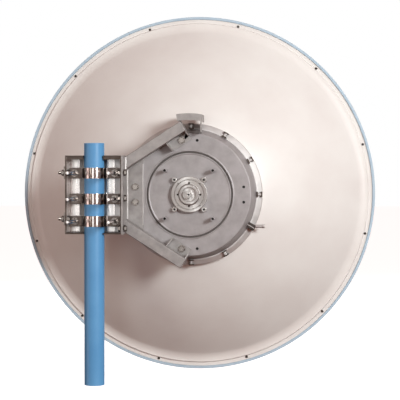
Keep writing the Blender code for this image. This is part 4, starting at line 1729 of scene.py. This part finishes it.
    def build_cleat(self) -> None:
        """Make the cleat: a dark body set along the radius across the ring, and a short rod."""
        low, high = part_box("ring_cleat")
        middle = (low.z + high.z) / 2
        long, wide = self.cleat_size
        centre = Vector((low.x + self.cleat_inset, low.y, middle))
        slope = math.radians(self.cleat_slope)
        along = Vector((math.cos(slope), 0.0, math.sin(slope))) * long / 2
        across = Vector((-math.sin(slope), 0.0, math.cos(slope))) * wide / 2
        body = prism("cleat_body", self.lozenge(centre, along, across), Vector((0.0, high.y - low.y, 0.0)))
        self.keep(soften(body, 0.0024, 3), "spring", Slot.CASTING, "ring_cleat")
        rise = self.cleat_strip[2]
        lifted = centre - Vector((0.0, rise, 0.0))
        line = self.lozenge(lifted, along * self.cleat_strip[0], across * self.cleat_strip[1])
        strip = prism("cleat_strip", line, Vector((0.0, rise - self.gap, 0.0)))
        self.keep(soften(strip, 0.0004, 1), "bright_cut_and_painted_light", Slot.CASTING)
        thin, thick = self.cleat_rod
        start, end = low.x + self.cleat_depth, high.x - MM
        neck = high.x - self.cleat_head
        corners = [
            (0.0, start, 0.0),
            (thin, start, 0.0),
            (thin, neck - 0.0005, MM),
            (thick, neck, MM),
            (thick, end, 0.0014),
            (0.0, end, 0.0),
        ]
        centre = Vector((0.0, (low.y + high.y) / 2, middle))
        rod = lathe("cleat_rod", corners, centre, Axis.X, 28, closed=False)
        self.keep(rod, "bright_cut_and_painted_light", Slot.CASTING)


@dataclass
class Feed(Coaxial):
    """The feed: rear flange, tube, cone and cap."""

    radius: float = 0.064
    lug_spacing: float = 0.0518
    lug_radius: float = 0.0095
    lug_hole: float = 0.004
    cover_groove: tuple[float, float, float, float] = (0.0535, 0.0520, 0.0505, 0.0014)
    boss_radius: float = 0.035
    port_radius: float = 0.014
    port_place: tuple[float, float] = (-0.008, -0.002)
    boss_rise: float = 0.010
    port_rise: float = 0.012
    port_root: float = 0.004
    port_deep: float = 0.006
    port_share: float = 0.75
    drill_past: float = 0.01
    bore_play: float = 0.96
    lug_step: float = 0.0012
    screw_circle: float = 0.0405
    screw_head: tuple[float, float] = (0.0036, 0.0026)
    pin_spacing: float = 0.0385
    pin_head: tuple[float, float] = (0.0020, 0.0012)
    tube_radius: float = 0.0245
    tube_wall: float = 0.003
    cone_radius: float = 0.046
    steps: int = 96

    def disc(
        self,
        name: str,
        corners: Sequence[tuple[float, float, float]],
        x: float,
        z: float,
        steps: int,
    ) -> bpy.types.Object:
        """Turn a closed disc about a line beside the dish axis.

        Args:
            name: The object's name.
            corners: The section's corners, from the axis to the axis.
            x: How far right of the dish axis the line lies.
            z: How far above it.
            steps: How many faces go round.

        Returns:
            The disc.
        """
        return lathe(name, corners, self.at(x, 0.0, z), Axis.Y, steps, closed=False)

    def lug_places(self) -> list[tuple[float, float]]:
        """Return how far right of and above the dish axis each lug lies."""
        reach = self.lug_spacing
        return [(-reach, -reach), (-reach, reach), (reach, -reach), (reach, reach)]

    def build(self) -> None:
        """Make the feed from the rear to the front."""
        low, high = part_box("feed_flange")
        front = high.y
        boss = low.y + self.port_rise
        rear = boss + self.boss_rise
        self.build_flange(low.y, boss, rear, front)
        self.build_screws(rear)
        self.build_tube()

    def build_flange(self, port: float, boss: float, rear: float, front: float) -> None:
        """Make the flange with its lugs, boss and port.

        Args:
            port: The y of the port's face.
            boss: The y of the boss's face.
            rear: The y of the flange's face.
            front: The y of its seat on the hub.
        """
        outside, middle, inside, deep = self.cover_groove
        corners = [
            (0.0, front, 0.0),
            (self.radius, front, 0.0),
            (self.radius, rear, 0.0022),
            (outside, rear, 0.0),
            (middle, rear + deep, 0.0),
            (inside, rear, 0.0),
            (self.boss_radius + 0.0030, rear, 0.0012),
            (self.boss_radius, rear - 0.0026, 0.0012),
            (self.boss_radius, boss, 0.0016),
            (self.boss_radius * 0.72, boss, 0.0010),
            (self.boss_radius * 0.68, boss + 0.0016, 0.0010),
            (0.0, boss + 0.0016, 0.0),
        ]
        flange = self.disc("flange", corners, 0.0, 0.0, 128)
        lug_face = rear + self.lug_step
        edge = [
            (0.0, front, 0.0),
            (self.lug_radius, front, 0.0),
            (self.lug_radius, lug_face, 0.0014),
            (0.0, lug_face, 0.0),
        ]
        lugs = [self.disc("lug", edge, x, z, 32) for x, z in self.lug_places()]
        combine(flange, lugs, "UNION")
        sunk = boss + self.port_root
        edge = [
            (0.0, sunk, 0.0),
            (self.port_radius, sunk, 0.0),
            (self.port_radius, port, 0.0018),
            (0.0, port, 0.0),
        ]
        combine(flange, [self.disc("port", edge, *self.port_place, 48)], "UNION")
        small = self.lug_hole * self.port_share
        start, end = self.at(0, port - self.drill_past, 0), self.at(0, port + self.port_deep, 0)
        holes = [bar("port_drill", start, end, small, 24)]
        for x, z in self.lug_places():
            start, end = self.at(x, port, z), self.at(x, front + self.drill_past, z)
            holes.append(bar("lug_drill", start, end, self.lug_hole, 24))
        combine(flange, holes, "DIFFERENCE")
        self.keep(shade(flange, 28.0), "turned", Slot.FEED_METAL, "feed_flange")
        plug = bore_plug(self.lug_hole * self.bore_play)
        place = Matrix.Translation(self.at(0.0, port + 2 * MM, 0.0)) @ Matrix.Scale(self.port_share, 4)
        bores = [duplicate(plug, "bore", place)]
        for x, z in self.lug_places():
            bores.append(duplicate(plug, "bore", Matrix.Translation(self.at(x, rear + 3 * MM, z))))
        discard(plug)
        self.keep(merge("flange_bores", bores), "bore", Slot.FEED_METAL)

    def build_screws(self, rear: float) -> None:
        """Make the four screws round the boss and the four small pins.

        Args:
            rear: The y of the flange's face.
        """
        screw = self.fastener.pan_head("screw_pattern", *self.screw_head)
        pin = self.fastener.pan_head("pin_pattern", *self.pin_head)
        pin_circle = self.pin_spacing * math.sqrt(2)
        for index in range(4):
            for pattern, name, radius, turn in (
                (screw, "cover_screw_", self.screw_circle, 0.0),
                (pin, "cover_pin_", pin_circle, 45.0),
            ):
                place = self.around(radius, 90.0 * index + turn, rear)
                copy = duplicate(pattern, name + str(index + 1), facing(place, BACK))
                self.keep(copy, "spring", Slot.BOLT)
        discard(screw, pin)

    def build_tube(self) -> None:
        """Make the waveguide tube, its cone and the cap."""
        low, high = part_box("feed_tube")
        inner = self.tube_radius - self.tube_wall
        corners = [
            (self.tube_radius, low.y, 0.0),
            (self.tube_radius, high.y, 0.0008),
            (inner, high.y, 0.0),
            (inner, low.y, 0.0),
        ]
        tube = lathe("waveguide", corners, self.axis, Axis.Y, self.steps)
        self.keep(tube, "turned", Slot.FEED_METAL, "feed_tube")
        low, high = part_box("feed_cone")
        corners = [
            (0.0, low.y, 0.0),
            (self.tube_radius, low.y, 0.0005),
            (self.tube_radius, low.y + 0.006, 0.002),
            (self.cone_radius, high.y - 0.004, 0.001),
            (self.cone_radius, high.y, 0.0008),
            (0.0, high.y, 0.0),
        ]
        cone = self.disc("cone", corners, 0.0, 0.0, self.steps)
        self.keep(cone, "plastic", Slot.FEED_PLASTIC, "feed_cone")
        low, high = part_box("feed_cap")
        radius = (high.x - low.x) / 2
        corners = [
            (0.0, low.y, 0.0),
            (radius, low.y, 0.0010),
            (radius, high.y, 0.0022),
            (radius * 0.80, high.y, 0.0008),
            (radius * 0.77, high.y - 0.0012, 0.0008),
            (0.0, high.y - 0.0012, 0.0),
        ]
        cap = self.disc("splash_cap", corners, 0.0, 0.0, self.steps)
        self.keep(cap, "turned", Slot.FEED_METAL, "feed_cap")


@dataclass
class Dish(Coaxial):
    """The spun reflector, its rim screws and its edge trim."""

    parabola_radius: float = 0.597
    flare_radius: float = 0.050
    joggle: tuple[float, float] = (0.6335, 0.6365)
    skin: float = 0.003
    feed_hole: float = 0.0262
    screw_circle: float = 0.6406
    first_screw: float = 16.5
    screw_count: int = 12
    trim_inner: float = 0.632
    trim_thick: float = 0.003
    screw_head: tuple[float, float] = (0.0048, 0.0030)
    rings: int = 40
    bends: int = 10
    steps: int = 256

    def rear_line(self, rim_y: float, rim_radius: float) -> list[tuple[float, float]]:
        """Return radius and y along the reflector's rear face, centre first.

        Args:
            rim_y: The y of the flange's rear face.
            rim_radius: The flange's radius.

        Returns:
            The line.
        """
        line = []
        for step in range(self.rings + 1):
            radius = self.feed_hole + (self.parabola_radius - self.feed_hole) * step / self.rings
            line.append((radius, self.bowl_y(radius)))
        slope = math.atan(2 * self.parabola_radius / self.four_focal)
        start = line[-1][1]
        for step in range(1, self.bends + 1):
            angle = slope * (1 - step / self.bends)
            radius = self.parabola_radius + self.flare_radius * (math.sin(slope) - math.sin(angle))
            line.append((radius, start + self.flare_radius * (math.cos(angle) - math.cos(slope))))
        inner, outer = self.joggle
        line += [(inner, line[-1][1]), (outer, rim_y), (rim_radius, rim_y)]
        return line

    def build(self) -> None:
        """Make the reflector, the screws and the trim."""
        low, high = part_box("reflector")
        rim_radius = (high.x - low.x) / 2
        rim_y = high.y - self.skin
        rear = self.rear_line(rim_y, rim_radius)
        front = self.shifted(rear, self.skin)
        shell = turned("bowl", rear + front[::-1], self.axis, Axis.Y, self.steps)
        self.keep(soften(shell, 0.0006, 1, 25.0), "dish", Slot.DISH, "reflector")
        self.build_screws(rim_y)
        self.build_trim(rim_radius)

    def shifted(self, line: Sequence[tuple[float, float]], distance: float) -> list[tuple[float, float]]:
        """Return a line moved forwards, square to itself.

        Args:
            line: Radius and y of each point.
            distance: How far it moves.

        Returns:
            The moved line.
        """
        moved = []
        for index, (radius, y) in enumerate(line):
            before = Vector(line[max(index - 1, 0)])
            after = Vector(line[min(index + 1, len(line) - 1)])
            along = (after - before).normalized()
            if index in (0, len(line) - 1):
                moved.append((radius, y + distance / max(along.x, 0.5)))
            else:
                moved.append((radius - along.y * distance, y + along.x * distance))
        return moved

    def build_screws(self, rim_y: float) -> None:
        """Make the twelve screws in the rim.

        Args:
            rim_y: The y of the flange's rear face.
        """
        screw = self.fastener.pan_head("rim_screw_pattern", *self.screw_head)
        for index in range(self.screw_count):
            angle = self.first_screw + 360.0 * index / self.screw_count
            place = self.around(self.screw_circle, angle, rim_y)
            copy = duplicate(screw, "rim_screw_" + str(index + 1), facing(place, BACK))
            self.keep(copy, "spring", Slot.BOLT)
        discard(screw)

    def build_trim(self, rim_radius: float) -> None:
        """Make the edge trim: a band round the rim with a lip on its front.

        Args:
            rim_radius: The radius of the reflector's flange.
        """
        low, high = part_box("rim_trim")
        radius = (high.x - low.x) / 2
        lip_y = high.y - self.trim_thick
        inside = rim_radius + 2 * self.gap
        corners = [
            (radius, high.y, 0.0012),
            (radius, low.y, 0.0012),
            (inside, low.y, 0.0008),
            (inside, lip_y, 0.0),
            (self.trim_inner, lip_y, 0.0),
            (self.trim_inner, high.y, 0.0008),
        ]
        trim = lathe("edge_trim", corners, self.axis, Axis.Y, self.steps, degrees=30.0)
        self.keep(trim, "trim", Slot.TRIM, "rim_trim")


@dataclass(frozen=True)
class Lamp:
    """A flat lamp that shines at the dish, placed from the dish axis in metres."""

    name: str
    place: tuple[float, float, float]
    size: tuple[float, float]
    power: float
    colour: tuple[float, float, float]


LAMPS = (
    # The main light, high on the right behind the dish
    Lamp("key", (3.05, -3.90, 1.30), (1.3, 1.3), 222.0, (0.95, 1.0, 1.0)),
    # Weak ones on the left, by the camera, low on the left and below
    Lamp("strip", (-3.30, -4.80, 1.30), (1.5, 2.0), 24.0, (1.0, 0.97, 0.85)),
    Lamp("panel", (-0.90, -6.40, 0.40), (1.6, 2.2), 28.0, (0.95, 1.0, 1.0)),
    Lamp("left", (-5.00, -1.60, -0.60), (2.5, 2.5), 30.0, (1.0, 0.80, 0.76)),
    Lamp("low", (1.50, -3.50, -4.00), (3.0, 3.0), 14.0, (1.0, 0.26, 0.12)),
    # One for the bowl's side, which the photograph doesn't show
    Lamp("front", (-1.6, 4.2, 2.2), (2.6, 2.6), 120.0, (1.0, 0.99, 0.98)),
)


@dataclass
class Studio:
    """The floor, the lights, the world and the camera."""

    axis: Vector
    camera_place: tuple[float, float, float] = (0.4629, -5.05, 0.0772)
    yaw: float = 0.0828
    pitch: float = 0.0187
    lens: float = 132.2
    floor_size: float = 60.0
    floor_drop: float = 0.065
    floor_glow: float = 0.75
    aim_depth: float = 0.25
    tilt: tuple[float, float, float] = (0.10, 0.0, 0.99)
    below: tuple[float, float, float, float] = (0.060, 0.024, 0.014, 1.0)
    above: tuple[float, float, float, float] = (0.37, 0.27, 0.25, 1.0)
    white: tuple[float, float, float, float] = (1.0, 1.0, 1.0, 1.0)

    def build(self) -> None:
        """Make everything that isn't part of the antenna."""
        self.build_floor()
        self.build_world()
        self.build_lights()
        self.build_camera()

    def build_floor(self) -> None:
        """Make the pale floor, low enough for the rim of a dish that is tilted down."""
        only(None)
        bpy.ops.mesh.primitive_plane_add(size=self.floor_size, location=(0.0, 0.0, -self.floor_drop))
        floor = named(bpy.context.object, "floor")
        made = bpy.data.materials.new("pale_floor")
        made.use_nodes = True
        shader = made.node_tree.nodes["Principled BSDF"]
        shader.inputs["Base Color"].default_value = linear("#E8E8E8")
        shader.inputs["Roughness"].default_value = 0.9
        shader.inputs["Emission Color"].default_value = self.white
        shader.inputs["Emission Strength"].default_value = self.floor_glow
        floor.data.materials.append(made)
        floor.visible_diffuse = False
        floor.visible_glossy = False
        floor.visible_shadow = False

    def build_world(self) -> None:
        """Make a white surround that lights from above more than from below."""
        world = bpy.data.worlds.new("studio")
        bpy.context.scene.world = world
        world.use_nodes = True
        tree = world.node_tree
        tree.nodes.clear()
        ray = add_node(tree, "ShaderNodeLightPath")
        way = add_node(tree, "ShaderNodeTexCoord").outputs["Generated"]
        toward = add_node(
            tree,
            "ShaderNodeVectorMath",
            {"operation": "DOT_PRODUCT"},
            {0: way, 1: self.tilt},
        ).outputs["Value"]
        rise = add_node(
            tree,
            "ShaderNodeMapRange",
            {"interpolation_type": "SMOOTHSTEP"},
            {"Value": toward, "From Min": -0.35, "From Max": 0.35, "To Min": 0.0, "To Max": 1.0},
        ).outputs["Result"]
        tone = add_node(
            tree,
            "ShaderNodeMix",
            {"data_type": "RGBA"},
            {0: rise, 6: self.below, 7: self.above},
        ).outputs[2]
        seen = add_node(
            tree,
            "ShaderNodeMix",
            {"data_type": "RGBA"},
            {0: ray.outputs["Is Camera Ray"], 6: tone, 7: self.white},
        ).outputs[2]
        surround = add_node(tree, "ShaderNodeBackground", inputs={"Color": seen, "Strength": 1.0})
        add_node(tree, "ShaderNodeOutputWorld", inputs={"Surface": surround.outputs[0]})

    def build_lights(self) -> None:
        """Make the key light on the right, weak ones behind, left and below, and one in front."""
        aim = self.axis + Vector((0.0, self.aim_depth, 0.0))
        for lamp in LAMPS:
            data = bpy.data.lights.new(lamp.name, "AREA")
            data.shape = "RECTANGLE"
            data.size, data.size_y = lamp.size
            data.energy = lamp.power
            data.color = lamp.colour
            made = bpy.data.objects.new(lamp.name, data)
            bpy.context.scene.collection.objects.link(made)
            made.location = self.axis + Vector(lamp.place)
            made.rotation_euler = (aim - made.location).to_track_quat("-Z", "Y").to_euler()

    def build_camera(self) -> None:
        """Make the camera at the photograph's angle and set how the render is developed."""
        data = bpy.data.cameras.new("camera")
        data.lens = self.lens
        data.sensor_width = 36.0
        camera = bpy.data.objects.new("camera", data)
        bpy.context.scene.collection.objects.link(camera)
        camera.location = self.axis + Vector(self.camera_place)
        camera.rotation_euler = (math.pi / 2 - self.pitch, 0.0, self.yaw)
        data.clip_start = 0.1
        data.clip_end = 200.0
        bpy.context.scene.camera = camera
        bpy.context.scene.view_settings.view_transform = "Standard"


def main() -> None:
    """Build the antenna's looks around the frame, in order."""
    logging.basicConfig(level=logging.INFO, format="%(name)s: %(message)s")
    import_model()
    axis = dish_axis()
    finishes = make_finishes(axis)
    assemblies: list[Assembly] = [
        PoleStub(finishes),
        Clamp(finishes),
        Bracket(finishes, axis=axis),
        Hub(finishes, axis=axis),
        Feed(finishes, axis=axis),
        Dish(finishes, axis=axis),
    ]
    for assembly in assemblies:
        assembly.build()
        LOG.info("%s: %d pieces", type(assembly).__name__, len(assembly.made))
    Studio(axis).build()
    only(None)


if __name__ == "__main__":
    main()
